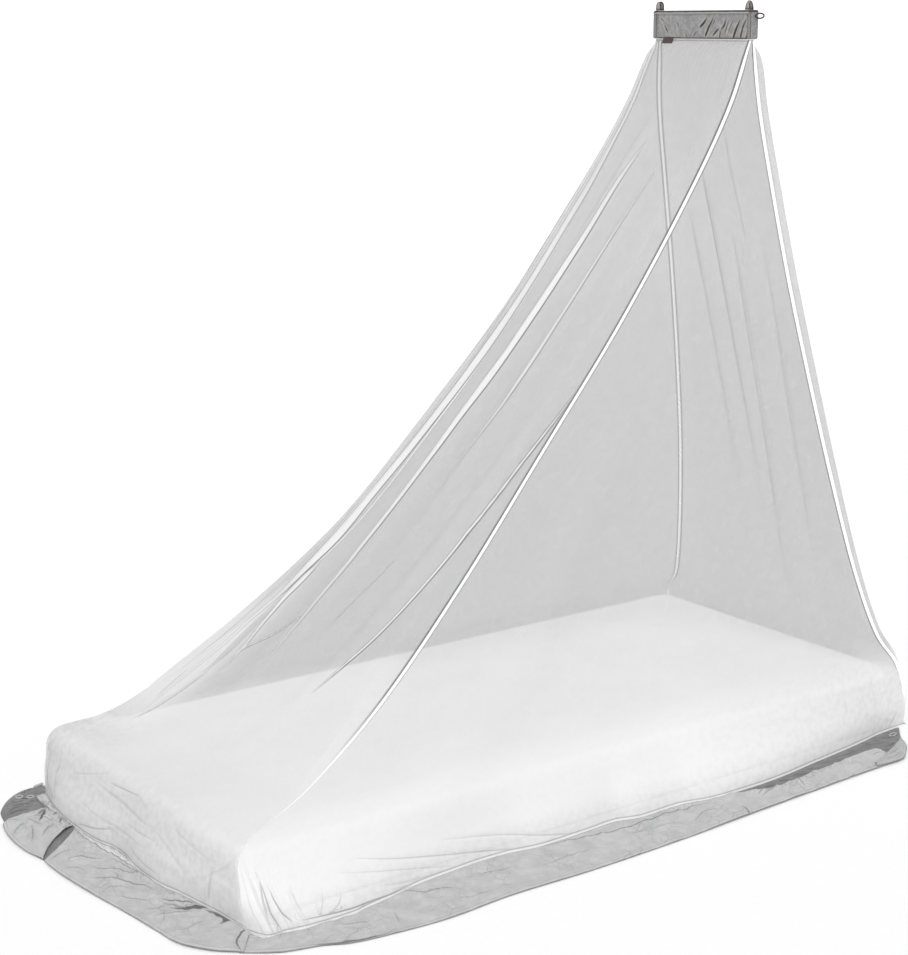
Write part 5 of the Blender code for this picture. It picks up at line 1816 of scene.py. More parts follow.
# Puckers drawn lighter as painted highlight and creases drawn darker as painted shade, on the pieces at the
# corners, as bands of (along, across, half width).
CORNER_FOOT_STRIPS = (
    Band(0.7, 0.004, ((-0.070, 0.486, 0.0008), (-0.066, 0.491, 0.0032), (-0.060, 0.496, 0.0008))),
    Band(0.7, 0.004, ((-0.056, 0.494, 0.0008), (-0.051, 0.496, 0.0030), (-0.045, 0.497, 0.0008))),
    Band(0.6, 0.004, ((-0.080, 0.424, 0.0008), (-0.076, 0.428, 0.0028), (-0.072, 0.434, 0.0008))),
    Band(0.35, 0.003, ((-0.150, 0.396, 0.0006), (-0.128, 0.410, 0.0018), (-0.104, 0.412, 0.0006))),
    Band(0.30, 0.003, ((-0.120, 0.446, 0.0006), (-0.102, 0.440, 0.0016), (-0.088, 0.446, 0.0006))),
    Band(0.35, 0.002, ((-0.190, 0.104, 0.0006), (-0.166, 0.122, 0.0030), (-0.140, 0.146, 0.0006))),
)
CORNER_FOOT_VEINS = (
    Band(0.8, -0.003, ((-0.160, 0.380, 0.0006), (-0.130, 0.392, 0.0018), (-0.100, 0.386, 0.0006))),
    Band(0.8, -0.003, ((-0.120, 0.425, 0.0006), (-0.098, 0.424, 0.0018), (-0.082, 0.410, 0.0006))),
    Band(0.8, -0.003, ((-0.090, 0.466, 0.0006), (-0.082, 0.452, 0.0018), (-0.064, 0.446, 0.0006))),
)
CORNER_HEAD_STRIPS = (
    Band(0.45, 0.003, ((1.372, -0.548, 0.0008), (1.384, -0.552, 0.0026), (1.398, -0.556, 0.0008))),
    Band(0.40, 0.003, ((1.412, -0.549, 0.0008), (1.428, -0.554, 0.0026), (1.440, -0.560, 0.0008))),
    Band(0.40, 0.003, ((1.470, -0.545, 0.0008), (1.482, -0.550, 0.0024), (1.500, -0.555, 0.0008))),
    Band(0.35, 0.003, ((1.530, -0.541, 0.0008), (1.545, -0.547, 0.0024), (1.560, -0.552, 0.0008))),
    Band(0.35, 0.003, ((1.590, -0.534, 0.0008), (1.604, -0.541, 0.0024), (1.620, -0.546, 0.0008))),
    Band(0.30, 0.003, ((1.840, -0.510, 0.0006), (1.868, -0.520, 0.0018), (1.890, -0.532, 0.0006))),
    Band(0.30, 0.003, ((1.900, -0.492, 0.0006), (1.918, -0.504, 0.0018), (1.936, -0.508, 0.0006))),
)
CORNER_HEAD_VEINS = (
    Band(0.7, -0.003, ((1.850, -0.540, 0.0006), (1.880, -0.548, 0.0018), (1.912, -0.536, 0.0006))),
    Band(0.7, -0.003, ((1.700, -0.520, 0.0006), (1.740, -0.524, 0.0016), (1.780, -0.518, 0.0006))),
)
FLAP_VEINS = (
    Band(0.45, 0.002, ((1.800, -0.606, 0.0004), (1.838, -0.600, 0.0012), (1.866, -0.590, 0.0004))),
    Band(0.45, -0.001, ((1.770, -0.622, 0.0004), (1.812, -0.620, 0.0012), (1.850, -0.610, 0.0004))),
)

# The pieces at the corners: how high each lies, how far it bulges, and how rough it is.
Corner = namedtuple("Corner", "name table rows columns base rise rough strips veins slot rests_on")
CORNER_CRUMPLE = 0.045
CORNER_GATHER = 0.35
CLEAR_OF_NET = 0.05  # a distance from the net at which no painted shade line of it shows
CORNERS = (
    Corner(
        "corner_foot_far", CORNER_FOOT_FAR, 150, 44, 0.9 * MM, 0.0, 3.4 * MM,
        CORNER_FOOT_STRIPS, CORNER_FOOT_VEINS, "dark_grey_skirt", "mattress",
    ),
    Corner(
        "corner_head_near", CORNER_HEAD_NEAR, 190, 40, 0.9 * MM, 0.0, 3.0 * MM,
        CORNER_HEAD_STRIPS, CORNER_HEAD_VEINS, "dark_grey_skirt", "mattress",
    ),
    Corner(
        "skirt_flap", FLAP, 80, 20, 5.0 * MM, 6.0 * MM, 2.0 * MM,
        (), FLAP_VEINS, "light_grey_skirt", "skirt_near",
    ),
)


def rough_allowed(corner, t, w):
    """Where a corner piece is free to crumple: not where it lies under the light skirt."""
    free = min(w / 0.12, 1) * min((1 - w) / 0.12, 1)
    if corner.name == "corner_foot_far":
        return free * ease(0.38, 0.46, t)
    if corner.name == "corner_head_near":
        return free * ease(0.58, 0.70, t)
    return free


def make_corner(corner, paint):
    """A piece on the floor at a corner, through rows that run outwards."""
    rows, outer_distance = [], []
    for row in range(corner.rows + 1):
        t = row / corner.rows
        inner_along, inner_across, outer_along, outer_across = read(corner.table, t)
        inner = at(inner_along, inner_across, 0)
        outer = at(outer_along, outer_across, 0)
        wide = (outer - inner).length
        points = []
        for column in range(corner.columns + 1):
            w = column / corner.columns
            point = inner.lerp(outer, w)
            rough = crumple(point.x, point.y, 5.0, CORNER_CRUMPLE) * corner.rough
            rough *= rough_allowed(corner, t, w)
            point.z = MATTRESS_LOW.z + corner.base + rough + corner.rise * sin(pi * w) ** 0.6
            points.append(point)
        rows.append(points)
        outer_distance.append([(1 - column / corner.columns) * wide for column in range(corner.columns + 1)])
    grid = np.array(rows)
    marks = crease_floor_cloth(grid, corner.strips, corner.veins, FLOOR_CLOTH_CELL)
    marks["inner_distance"] = np.full(grid.shape[:2], CLEAR_OF_NET)
    marks["gather"] = np.full(grid.shape[:2], 0.0 if corner.name == "skirt_flap" else CORNER_GATHER)
    marks["edge_distance"] = np.array(outer_distance)
    piece = cloth(f"{corner.name}_cloth", grid, (0, 0, 1), marks)
    thicken(piece, CORNER_THICK)
    place(piece, [corner.name], paint)


def make_skirts(settings):
    # The colour of the painted shade lines, the outer edge and the stitches.
    line = darker(settings.skirt_colour, 0.22)
    light = taffeta_material("coated_polyester_taffeta_light", settings.skirt_colour, line, 0.09)
    for skirt in SKIRTS:
        make_skirt(skirt, settings, light)


def make_corners(settings):
    # The colours of the painted shade lines, outer edges and stitches of the corner pieces and the flap.
    line = darker(settings.corner_shade_colour, 0.30)
    # A dark sheet painted as the shade in the gaps at the corners.
    dark = taffeta_material("coated_polyester_taffeta_painted_shade", settings.corner_shade_colour, line, 0.16)
    flap_line = darker(settings.skirt_colour, 0.30)
    flap_grey = darker(settings.skirt_colour, 0.85)
    light = taffeta_material("coated_polyester_taffeta_flap", flap_grey, flap_line, 0.08)
    for corner in CORNERS:
        make_corner(corner, light if corner.slot == "light_grey_skirt" else dark)


# The mattress ----------------------------------------------------------------------------------------------

MATTRESS_CORNER = 0.045
MATTRESS_TOP_EDGE = 0.025
MATTRESS_BASE_EDGE = 0.012
MATTRESS_CELL = 0.0115
EDGE_DENSER = 0.5  # how much closer together the grid's lines are at the edges of the mattress

# Painted shade along the seam at the top of the fitted sheet, on its far and head sides: how far it lies
# from the edge, how wide it is and how plain it shows.
EDGE_SEAM = 0.009
EDGE_SEAM_HALF = 0.008
EDGE_SEAM_SHOW = 1.2

# The soft random waves of the sheet's top and sides, from waves per metre along and across, and a height.
SheetWave = namedtuple("SheetWave", "along across seed height")
TOP_WAVES = (SheetWave(2.2, 4.5, 1.0, 0.0022), SheetWave(7.0, 11.0, 4.0, 0.0009))
TOP_SINK = 0.0012  # keeps the waves under the mattress's full height
SIDE_WAVE = SheetWave(5.0, 9.0, 2.0, 0.0012)

# Creases in the fitted sheet: the face they lie on, their ends on it, their half width and depth.
Crease = namedtuple("Crease", "face start_u start_v end_u end_v width depth")
SHEET_CREASES = (
    # near side: u is along, v is height
    Crease("near", 0.10, 0.050, 0.62, 0.064, 0.004, 0.0016),
    Crease("near", 0.22, 0.036, 0.74, 0.050, 0.004, 0.0014),
    Crease("near", 0.30, 0.024, 0.58, 0.028, 0.004, 0.0012),
    Crease("near", 0.02, 0.150, 0.10, 0.060, 0.005, 0.0022),
    Crease("near", 0.03, 0.155, 0.05, 0.040, 0.005, 0.0024),
    Crease("near", 1.84, 0.140, 1.97, 0.060, 0.006, 0.0018),
    Crease("near", 1.90, 0.150, 1.94, 0.030, 0.006, 0.0018),
    # foot side: u is across, v is height
    Crease("foot", -0.35, 0.150, -0.39, 0.030, 0.006, 0.0024),
    Crease("foot", -0.28, 0.140, -0.31, 0.050, 0.007, 0.0018),
    Crease("foot", 0.10, 0.120, 0.30, 0.100, 0.006, 0.0014),
    Crease("foot", 0.36, 0.140, 0.39, 0.040, 0.006, 0.0018),
    # far side and head side, which the net hides
    Crease("far", 0.05, 0.150, 0.12, 0.060, 0.005, 0.0020),
    Crease("far", 0.70, 0.060, 1.30, 0.050, 0.005, 0.0014),
    Crease("far", 1.85, 0.145, 1.95, 0.050, 0.006, 0.0020),
    Crease("head", -0.36, 0.145, -0.40, 0.040, 0.006, 0.0020),
    Crease("head", -0.10, 0.060, 0.22, 0.050, 0.005, 0.0014),
    Crease("head", 0.35, 0.145, 0.40, 0.050, 0.006, 0.0020),
)


def rounded_point(point, half, corner, top_edge, base_edge):
    """Moves a point of a box's face onto the box with rounded corners and edges."""
    x, y, z = point
    inner_x = max(abs(x) - (half.x - corner), 0)
    inner_y = max(abs(y) - (half.y - corner), 0)
    if inner_x > 0 and inner_y > 0:
        scale = max(inner_x, inner_y) / hypot(inner_x, inner_y)
        away = Vector((inner_x, inner_y)).normalized()
        inner_x, inner_y = inner_x * scale, inner_y * scale
        from_edge = corner - hypot(inner_x, inner_y)
    else:
        from_edge = min(half.x - abs(x), half.y - abs(y))
        away = Vector((1.0, 0.0)) if half.x - abs(x) < half.y - abs(y) else Vector((0.0, 1.0))
    flat_x = min(abs(x), half.x - corner) + inner_x
    flat_y = min(abs(y), half.y - corner) + inner_y
    radius = top_edge if z > 0 else base_edge
    out = max(radius - from_edge, 0)
    up = max(abs(z) - (half.z - radius), 0)
    if out > 0 and up > 0:
        scale = max(out, up) / hypot(out, up)
        flat_x -= away.x * out * (1 - scale)
        flat_y -= away.y * out * (1 - scale)
        up *= scale
    tall = min(abs(z), half.z - radius) + up
    return Vector((flat_x if x > 0 else -flat_x, flat_y if y > 0 else -flat_y, tall if z > 0 else -tall))


def near_line(u, v, start, end):
    """Distance from a point to a line, both in the plane, and where along the line that is."""
    line = end - start
    t = min(max((Vector((u, v)) - start).dot(line) / line.length_squared, 0), 1)
    return (Vector((u, v)) - start - line * t).length, t


def padded_block(name, low, high, cell, denser, shape):
    """A closed box of small four-sided faces between two corners, each point moved by shape.

    shape gets a point, half the box's size and its middle, and gives the moved point and a value for it.
    """
    size = high - low
    mesh = bmesh.new()
    bmesh.ops.create_cube(mesh, size=1, matrix=Matrix.Diagonal((*size, 1)))
    for axis in range(3):
        other = [k for k in range(3) if k != axis]
        cuts = max(int(size[axis] / cell) - 1, 1)
        edges = [
            edge
            for edge in mesh.edges
            if all(abs(edge.verts[0].co[k] - edge.verts[1].co[k]) < SAME_PLACE for k in other)
        ]
        bmesh.ops.subdivide_edges(mesh, edges=edges, cuts=cuts, use_grid_fill=True)
    data = bpy.data.meshes.new(name)
    mesh.to_mesh(data)
    mesh.free()
    centre = (low + high) / 2
    half = size / 2
    values = []
    for vert in data.vertices:
        point = Vector(vert.co)
        for axis in range(3):
            even = point[axis] / half[axis]
            point[axis] = half[axis] * ((1 - denser) * even + denser * sin(pi / 2 * even))
        moved, value = shape(point, half, centre)
        vert.co = moved + centre
        values.append(value)
    data.update()
    data.shade_smooth()
    return new_object(name, data), np.array(values)


def sheet_wave(kind, along, across, bias=0.0):
    """The height of a random wave of the sheet. bias raises or lowers all of it, as a share."""
    return (noise.noise(Vector((along * kind.along, across * kind.across, kind.seed))) + bias) * kind.height


def mattress_shape(point, half, centre):
    """The rounded mattress under its fitted sheet, with its wrinkles."""
    moved = rounded_point(point, half, MATTRESS_CORNER, MATTRESS_TOP_EDGE, MATTRESS_BASE_EDGE)
    place_on = moved + centre
    along = place_on.x - MATTRESS_LOW.x
    height = place_on.z - MATTRESS_LOW.z
    crease_mark = 0.0
    if point.z > half.z - SAME_PLACE:
        wave = sum(sheet_wave(kind, along, place_on.y) for kind in TOP_WAVES)
        edge = min(half.x - abs(point.x), half.y - abs(point.y))
        moved.z += (wave - TOP_SINK) * ease(0, 0.06, edge)
        # The value on the top is a painted shade along its seam.
        from_back = min(half.x - point.x, half.y - point.y)
        return moved, EDGE_SEAM_SHOW * bump(from_back - EDGE_SEAM, EDGE_SEAM_HALF)
    if point.z < -half.z + SAME_PLACE:
        return moved, 0.0
    outward = Vector((point.x / half.x, point.y / half.y, 0))
    face = "side"
    if abs(outward.y) > 1 - SAME_PLACE:
        face = "near" if outward.y < 0 else "far"
        outward.x = 0
    elif abs(outward.x) > 1 - SAME_PLACE:
        face = "foot" if outward.x < 0 else "head"
        outward.y = 0
    outward.normalize()
    u = along if face in ("near", "far") else place_on.y
    out = sheet_wave(SIDE_WAVE, u, height, -0.6)
    for crease in SHEET_CREASES:
        if crease.face != face:
            continue
        off, t = near_line(
            u, height, Vector((crease.start_u, crease.start_v)), Vector((crease.end_u, crease.end_v))
        )
        fade = sin(pi * min(max(t, 0.03), 0.97))
        out -= crease.depth * bump(off, crease.width) * fade
        out += 0.4 * crease.depth * bump(off - 2.2 * crease.width, crease.width) * fade
        # The value is a painted shade in the crease.
        crease_mark = max(crease_mark, bump(off, crease.width * 0.6) * fade * 0.5)
    middle = ease(0, 0.03, height) * (1 - ease(0.13, 0.16, height))
    moved += outward * (out * middle)
    return moved, crease_mark * middle


def make_mattress(settings):
    piece, creases = padded_block(
        "mattress_body", MATTRESS_LOW, MATTRESS_HIGH, MATTRESS_CELL, EDGE_DENSER, mattress_shape
    )
    # The mark holds the painted shade of the sheet's creases and top seam.
    set_mark(piece.data, "crease", creases)
    place(piece, ["mattress"], cotton_material(settings))


# The heading -----------------------------------------------------------------------------------------------

POUCH_EDGE = 6 * MM
POUCH_CELL = 2.0 * MM
POUCH_CROWN = 1.2 * MM
BINDING_EDGE = 5 * MM
BINDING_CELL = 1.5 * MM

# The pouch's random lumps: how many in a metre, and how far each stands out.
Lump = namedtuple("Lump", "per_metre seed height")
POUCH_LUMPS = (Lump(30, 4.0, 1.0 * MM), Lump(75, 7.0, 0.4 * MM))

# Creases on the pouch's front, drawn dark as painted shade with a painted highlight beside each, as bands
# of (distance from its middle, drop from its top edge, half width).
POUCH_CREASES = (
    Band(1.0, -0.0026, (
        (-0.024, 0.0190, 0.0011), (-0.0124, 0.0315, 0.0028), (-0.002, 0.0395, 0.0026),
        (0.0025, 0.0435, 0.0008),
    )),
    Band(1.0, -0.0028, (
        (-0.0455, 0.0200, 0.0011), (-0.0315, 0.0417, 0.0027), (-0.0199, 0.0620, 0.0026),
        (-0.0185, 0.0650, 0.0008),
    )),
    Band(0.9, -0.0022, (
        (-0.0898, 0.0210, 0.0008), (-0.0881, 0.0345, 0.0024), (-0.0788, 0.0445, 0.0022),
        (-0.0765, 0.0480, 0.0008),
    )),
    Band(0.9, -0.0022, (
        (-0.0670, 0.0450, 0.0008), (-0.0600, 0.0510, 0.0024), (-0.0488, 0.0600, 0.0022),
        (-0.0460, 0.0640, 0.0008),
    )),
    Band(1.0, -0.0028, (
        (-0.1425, 0.0240, 0.0011), (-0.1301, 0.0447, 0.0027), (-0.1190, 0.0680, 0.0027),
        (-0.1174, 0.0715, 0.0011),
    )),
    Band(0.9, -0.0024, (
        (-0.1580, 0.0280, 0.0008), (-0.1515, 0.0447, 0.0024), (-0.1440, 0.0670, 0.0024),
        (-0.1429, 0.0695, 0.0008),
    )),
    Band(0.9, -0.0020, (
        (-0.1796, 0.0190, 0.0008), (-0.1710, 0.0447, 0.0022), (-0.1635, 0.0690, 0.0022),
        (-0.1624, 0.0720, 0.0008),
    )),
    Band(0.75, -0.0014, ((-0.1040, 0.0240, 0.0005), (-0.0960, 0.0420, 0.0016), (-0.0880, 0.0620, 0.0005))),
    Band(0.70, -0.0014, ((-0.1180, 0.0260, 0.0005), (-0.1100, 0.0400, 0.0016), (-0.1000, 0.0600, 0.0005))),
    Band(0.70, -0.0012, ((-0.0560, 0.0200, 0.0005), (-0.0500, 0.0300, 0.0014), (-0.0440, 0.0420, 0.0005))),
    Band(0.8, -0.0018, ((0.1330, 0.0380, 0.0007), (0.1260, 0.0470, 0.0020), (0.1190, 0.0560, 0.0007))),
    Band(0.55, -0.0014, ((0.0900, 0.0260, 0.0005), (0.0820, 0.0360, 0.0014), (0.0760, 0.0460, 0.0005))),
    Band(0.8, -0.0018, ((-0.0760, 0.0500, 0.0006), (-0.0720, 0.0600, 0.0020), (-0.0690, 0.0720, 0.0008))),
    Band(0.7, -0.0016, ((-0.1640, 0.0200, 0.0006), (-0.1590, 0.0320, 0.0018), (-0.1540, 0.0420, 0.0006))),
    Band(0.6, -0.0014, ((0.0100, 0.0520, 0.0006), (0.0200, 0.0600, 0.0016), (0.0280, 0.0700, 0.0006))),
    Band(0.6, -0.0014, ((0.0560, 0.0560, 0.0006), (0.0500, 0.0640, 0.0016), (0.0460, 0.0730, 0.0006))),
    Band(0.6, -0.0014, ((0.1480, 0.0170, 0.0006), (0.1420, 0.0240, 0.0016), (0.1340, 0.0290, 0.0006))),
)


def pouch_shape(point, half, centre):
    """The padded pouch: rounded edges and a slight crown on its faces. The value is 1 on its front."""
    moved = rounded_point(point, half, min(POUCH_EDGE, half.x * 0.9), POUCH_EDGE, POUCH_EDGE)
    if abs(point.x) < half.x - SAME_PLACE:
        return moved, 0.0
    sign = 1 if point.x > 0 else -1
    across = point.y + centre.y
    drop = half.z - point.z
    out = cos(pi / 2 * point.z / half.z) ** 0.7 * POUCH_CROWN
    for lump in POUCH_LUMPS:
        spot = Vector((across * lump.per_metre, drop * lump.per_metre, lump.seed * sign))
        out += noise.noise(spot) * lump.height
    rim = min(drop, 2 * half.z - drop, half.y - abs(point.y))
    moved.x += sign * out * ease(0, 8 * MM, rim)
    return moved, 1.0 if sign < 0 else 0.0


def crease_pouch(mesh, front):
    """Presses the creases into the pouch's front and stores their marks."""
    count = len(mesh.vertices)
    spots = np.empty(count * 3)
    mesh.vertices.foreach_get("co", spots)
    spots = spots.reshape(-1, 3)
    drops = POUCH_HIGH.z - spots[:, 2]
    flat = np.stack((spots[:, 1], drops, np.zeros(count)), axis=1)
    lines = flat_lines(POUCH_CREASES, POUCH_CELL, lambda across, drop: (across, drop, 0))
    found = mark_lines(flat, np.tile((0.0, 0.0, 1.0), (count, 1)), lines, POUCH_CELL)
    rim = np.minimum(drops, POUCH_HIGH.z - POUCH_LOW.z - drops)
    spots[:, 0] -= found.lift * front * ease(0, 5 * MM, rim)
    mesh.vertices.foreach_set("co", spots.ravel())
    mesh.update()
    for mark_name, values in line_marks_named("crease", found, (count,)).items():
        set_mark(mesh, mark_name, values * front if mark_name.endswith("show") else values)


def end_shape_for(sign):
    """An end binding: a padded band with rounded edges. Its values are its inner seam and its outer rim."""

    def shape(point, half, centre):
        corner = min(BINDING_EDGE, half.y * 0.7)
        moved = rounded_point(point, half, corner, BINDING_EDGE, BINDING_EDGE)
        if abs(point.x) < half.x - SAME_PLACE:
            return moved, (0.0, 0.0)
        outer = half.y - sign * point.y
        return moved, (bump(2 * half.y - outer, 2.0 * MM), bump(outer, 2.4 * MM))

    return shape


def make_pouch(settings):
    piece, front = padded_block("pouch_body", POUCH_LOW, POUCH_HIGH, POUCH_CELL, 0.0, pouch_shape)
    crease_pouch(piece.data, front)
    place(piece, ["pouch"], pouch_material(settings))
    paint = binding_material(settings)
    for side, sign in SIDES.items():
        name = f"pouch_end_{side}"
        low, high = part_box(name)
        piece, marks = padded_block(f"{name}_binding", low, high, BINDING_CELL, 0.0, end_shape_for(sign))
        set_mark(piece.data, "seam", marks[:, 0])
        set_mark(piece.data, "rim", marks[:, 1])
        place(piece, [name], paint)


def tube_mesh(points, radius, sides, closed):
    """A round cord's points and faces through a line of points."""
    verts, faces = [], []
    count = len(points)
    up = Vector((0, 0, 1))
    for k, point in enumerate(points):
        before = points[k - 1] if closed or k > 0 else point
        after = points[(k + 1) % count] if closed or k < count - 1 else point
        ahead = (after - before).normalized()
        side = ahead.cross(up)
        if side.length < 1e-3:
            side = ahead.cross(Vector((1, 0, 0)))
        side.normalize()
        rise = side.cross(ahead).normalized()
        for turn in range(sides):
            angle = 2 * pi * turn / sides
            verts.append(point + side * (radius * cos(angle)) + rise * (radius * sin(angle)))
    for k in range(count if closed else count - 1):
        here, there = k * sides, (k + 1) % count * sides
        for turn in range(sides):
            following = (turn + 1) % sides
            faces.append((here + turn, here + following, there + following, there + turn))
    if not closed:
        faces.append(tuple(range(sides))[::-1])
        faces.append(tuple((count - 1) * sides + turn for turn in range(sides)))
    return verts, faces


def cord_piece(name, points, radius, sides=16, closed=False):
    verts, faces = tube_mesh([Vector(point) for point in points], radius, sides, closed)
    mesh = bpy.data.meshes.new(name)
    mesh.from_pydata(verts, [], faces)
    shape = bmesh.new()
    shape.from_mesh(mesh)
    bmesh.ops.recalc_face_normals(shape, faces=shape.faces)
    shape.to_mesh(mesh)
    shape.free()
    mesh.shade_smooth()
    return new_object(name, mesh)


ROUND_FIT = 0.98  # a round piece is this much thinner than its box, so that it stays inside it
PIPING_STEPS = 60


def make_piping(settings):
    """The piping along the pouch's top edge, which wavers a little."""
    low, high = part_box("pouch_piping")
    radius = (high.z - low.z) / 2
    middle = (low + high) / 2
    points = []
    for k in range(PIPING_STEPS + 1):
        across = low.y + (high.y - low.y) * k / PIPING_STEPS
        waver = 0.25 * MM * sin(across * 95) + 0.2 * MM * sin(across * 210)
        points.append((middle.x, across, middle.z + waver))
    piece = cord_piece("pouch_piping_cord", points, radius * ROUND_FIT)
    paint = cord_material("braided_polyester_piping", settings.pouch_colour)
    place(piece, ["pouch_piping"], paint)


WEBBING_THICK = 1.6 * MM
LOOP_COLUMNS = 14
LEG_STEPS = 8
ARCH_STEPS = 20

# How far each loop's strap is drawn in towards its top: by how much of its width, and how late.
Taper = namedtuple("Taper", "share power")
LOOP_TAPERS = {"far": Taper(0.72, 4.0), "near": Taper(0.88, 1.9)}


def make_loops(settings):
    """Two arches of webbing on top of the pouch, open through from side to side."""
    paint = webbing_material(settings)
    for side, taper in LOOP_TAPERS.items():
        name = f"hanging_loop_{side}"
        low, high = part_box(name)
        middle = (low + high) / 2
        half = (high.x - low.x) / 2 - WEBBING_THICK / 2
        spring = high.z - WEBBING_THICK / 2 - half
        leg = [(half, low.z + (spring - low.z) * k / LEG_STEPS) for k in range(LEG_STEPS)]
        turns = [pi * k / ARCH_STEPS for k in range(ARCH_STEPS + 1)]
        arch = [(half * cos(turn), spring + half * sin(turn)) for turn in turns]
        profile = leg + arch + [(-deep, height) for deep, height in reversed(leg)]
        rows, edges = [], []
        for deep, height in profile:
            risen = (height - low.z) / (high.z - low.z)
            wide = (high.y - low.y) / 2 * (1 - taper.share * risen**taper.power)
            over = [2 * column / LOOP_COLUMNS - 1 for column in range(LOOP_COLUMNS + 1)]
            rows.append([Vector((middle.x + deep, middle.y + w * wide, height)) for w in over])
            # The strap is drawn darker along its edges, towards its foot and at its crown.
            base_dark = 0.8 * (1 - ease(0.10, 0.28, risen))
            crown_dark = 0.7 * ease(0.80, 0.95, risen)
            edges.append([max(ease(0.50, 0.72, abs(w)), base_dark, crown_dark) for w in over])
        grid = np.array(rows)
        piece = cloth(f"{name}_strap", grid, (0, 0, 1), {"selvedge": np.array(edges)})
        thicken(piece, WEBBING_THICK, 0)
        place(piece, [name], paint)


TAB_THICK = 1.3 * MM
TAB_OVERLAP = 3.0 * MM  # how far the tab reaches up over the pouch's lower edge
TAB_BULGE = 0.4 * MM
TAB_ROWS = 12
TAB_COLUMNS = 16


def make_tab(settings):
    """A short dark tab sewn to the pouch's lower edge."""
    low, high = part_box("pull_tab")
    profile = (
        (0.0, high.x - TAB_THICK, POUCH_LOW.z + TAB_OVERLAP),
        (0.30, high.x - TAB_THICK * 1.2, POUCH_LOW.z),
        (1.0, low.x + TAB_THICK * 0.7, low.z),
    )
    wide = high.y - low.y
    across = [column / TAB_COLUMNS for column in range(TAB_COLUMNS + 1)]
    rows = []
    for row in range(TAB_ROWS + 1):
        deep, height = read(profile, row / TAB_ROWS)
        rows.append([Vector((deep - TAB_BULGE * sin(pi * w), low.y + wide * w, height)) for w in across])
    grid = np.array(rows)
    piece = cloth("pull_tab_strap", grid, (-1, 0, 0))
    thicken(piece, TAB_THICK, 0)
    paint = cord_material("braided_polyester_tab", settings.trim_and_shade_colour)
    place(piece, ["pull_tab"], paint)


END_RING_WIRE = 1.9 * MM
PEG_RING_WIRE = 1.6 * MM
PEG_LOOP_WIRE = 1.5 * MM
PEG_LOOP_LONG = Vector((0.014, 0.004, 0))
PEG_LOOP_SHORT = Vector((-0.002, 0.006, 0))
TOGGLE_STEPS = 16


def ring_piece(name, centre, long_axis, short_axis, wire, count=48):
    """A moulded oval ring of round wire."""
    turns = [2 * pi * k / count for k in range(count)]
    points = [centre + long_axis * cos(turn) + short_axis * sin(turn) for turn in turns]
    return cord_piece(name, points, wire, 14, True)


def make_end_ring(settings):
    low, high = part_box("end_ring")
    centre = (low + high) / 2
    long_axis = Vector((0, (high.y - low.y) / 2 - END_RING_WIRE, 0))
    short_axis = Vector((0, 0, (high.z - low.z) / 2 - END_RING_WIRE))
    piece = ring_piece("end_ring_oval", centre, long_axis, short_axis, END_RING_WIRE)
    place(piece, ["end_ring"], moulded_material("moulded_acetal_dark", settings.trim_and_shade_colour))


def make_pegs(settings):
    """The two small rings and the toggle of the foot corner, and the loop of the head corner."""
    paint = moulded_material("moulded_acetal_pale", settings.pale_colour)
    for name in ("peg_ring_1", "peg_ring_2"):
        low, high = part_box(name)
        centre = (low + high) / 2
        long_axis = Vector(((high.x - low.x) / 2 - PEG_RING_WIRE, 0, 0))
        short_axis = Vector((0, (high.y - low.y) / 2 - PEG_RING_WIRE, 0))
        piece = ring_piece(f"{name}_moulding", centre, long_axis, short_axis, PEG_RING_WIRE)
        place(piece, [name], paint)
    low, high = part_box("peg_toggle")
    centre = (low + high) / 2
    radius = (high.z - low.z) / 2
    reach = Vector(((high.x - low.x) / 2, (high.y - low.y) / 2 - radius, 0)) * ROUND_FIT
    points = [centre + reach * (2 * k / TOGGLE_STEPS - 1) for k in range(TOGGLE_STEPS + 1)]
    piece = cord_piece("peg_toggle_moulding", points, radius * ROUND_FIT, 18)
    place(piece, ["peg_toggle"], paint)
    low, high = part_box("peg_loop")
    centre = (low + high) / 2
    piece = ring_piece("peg_loop_cord", centre, PEG_LOOP_LONG, PEG_LOOP_SHORT, PEG_LOOP_WIRE)
    place(piece, ["peg_loop"], paint)


# The stage -------------------------------------------------------------------------------------------------

# The camera stands where the photograph's did. It was fitted to the corners of the mattress.
CAMERA_AT = (-3.5304, -3.7177, -0.0616)
CAMERA_TILT = pi / 2 - 0.2279
CAMERA_HEADING = 0.9358 - pi / 2
SENSOR_WIDTH = 36.0
FLOOR_BELOW = 0.6 * MM
FLOOR_RADIUS = 8.0
SWEEP_STEPS = 10
SWEEP_RADIUS = 3.5
KEY_DIRECTION = Vector((0.46, 0.61, -0.64))  # the way the key light travels


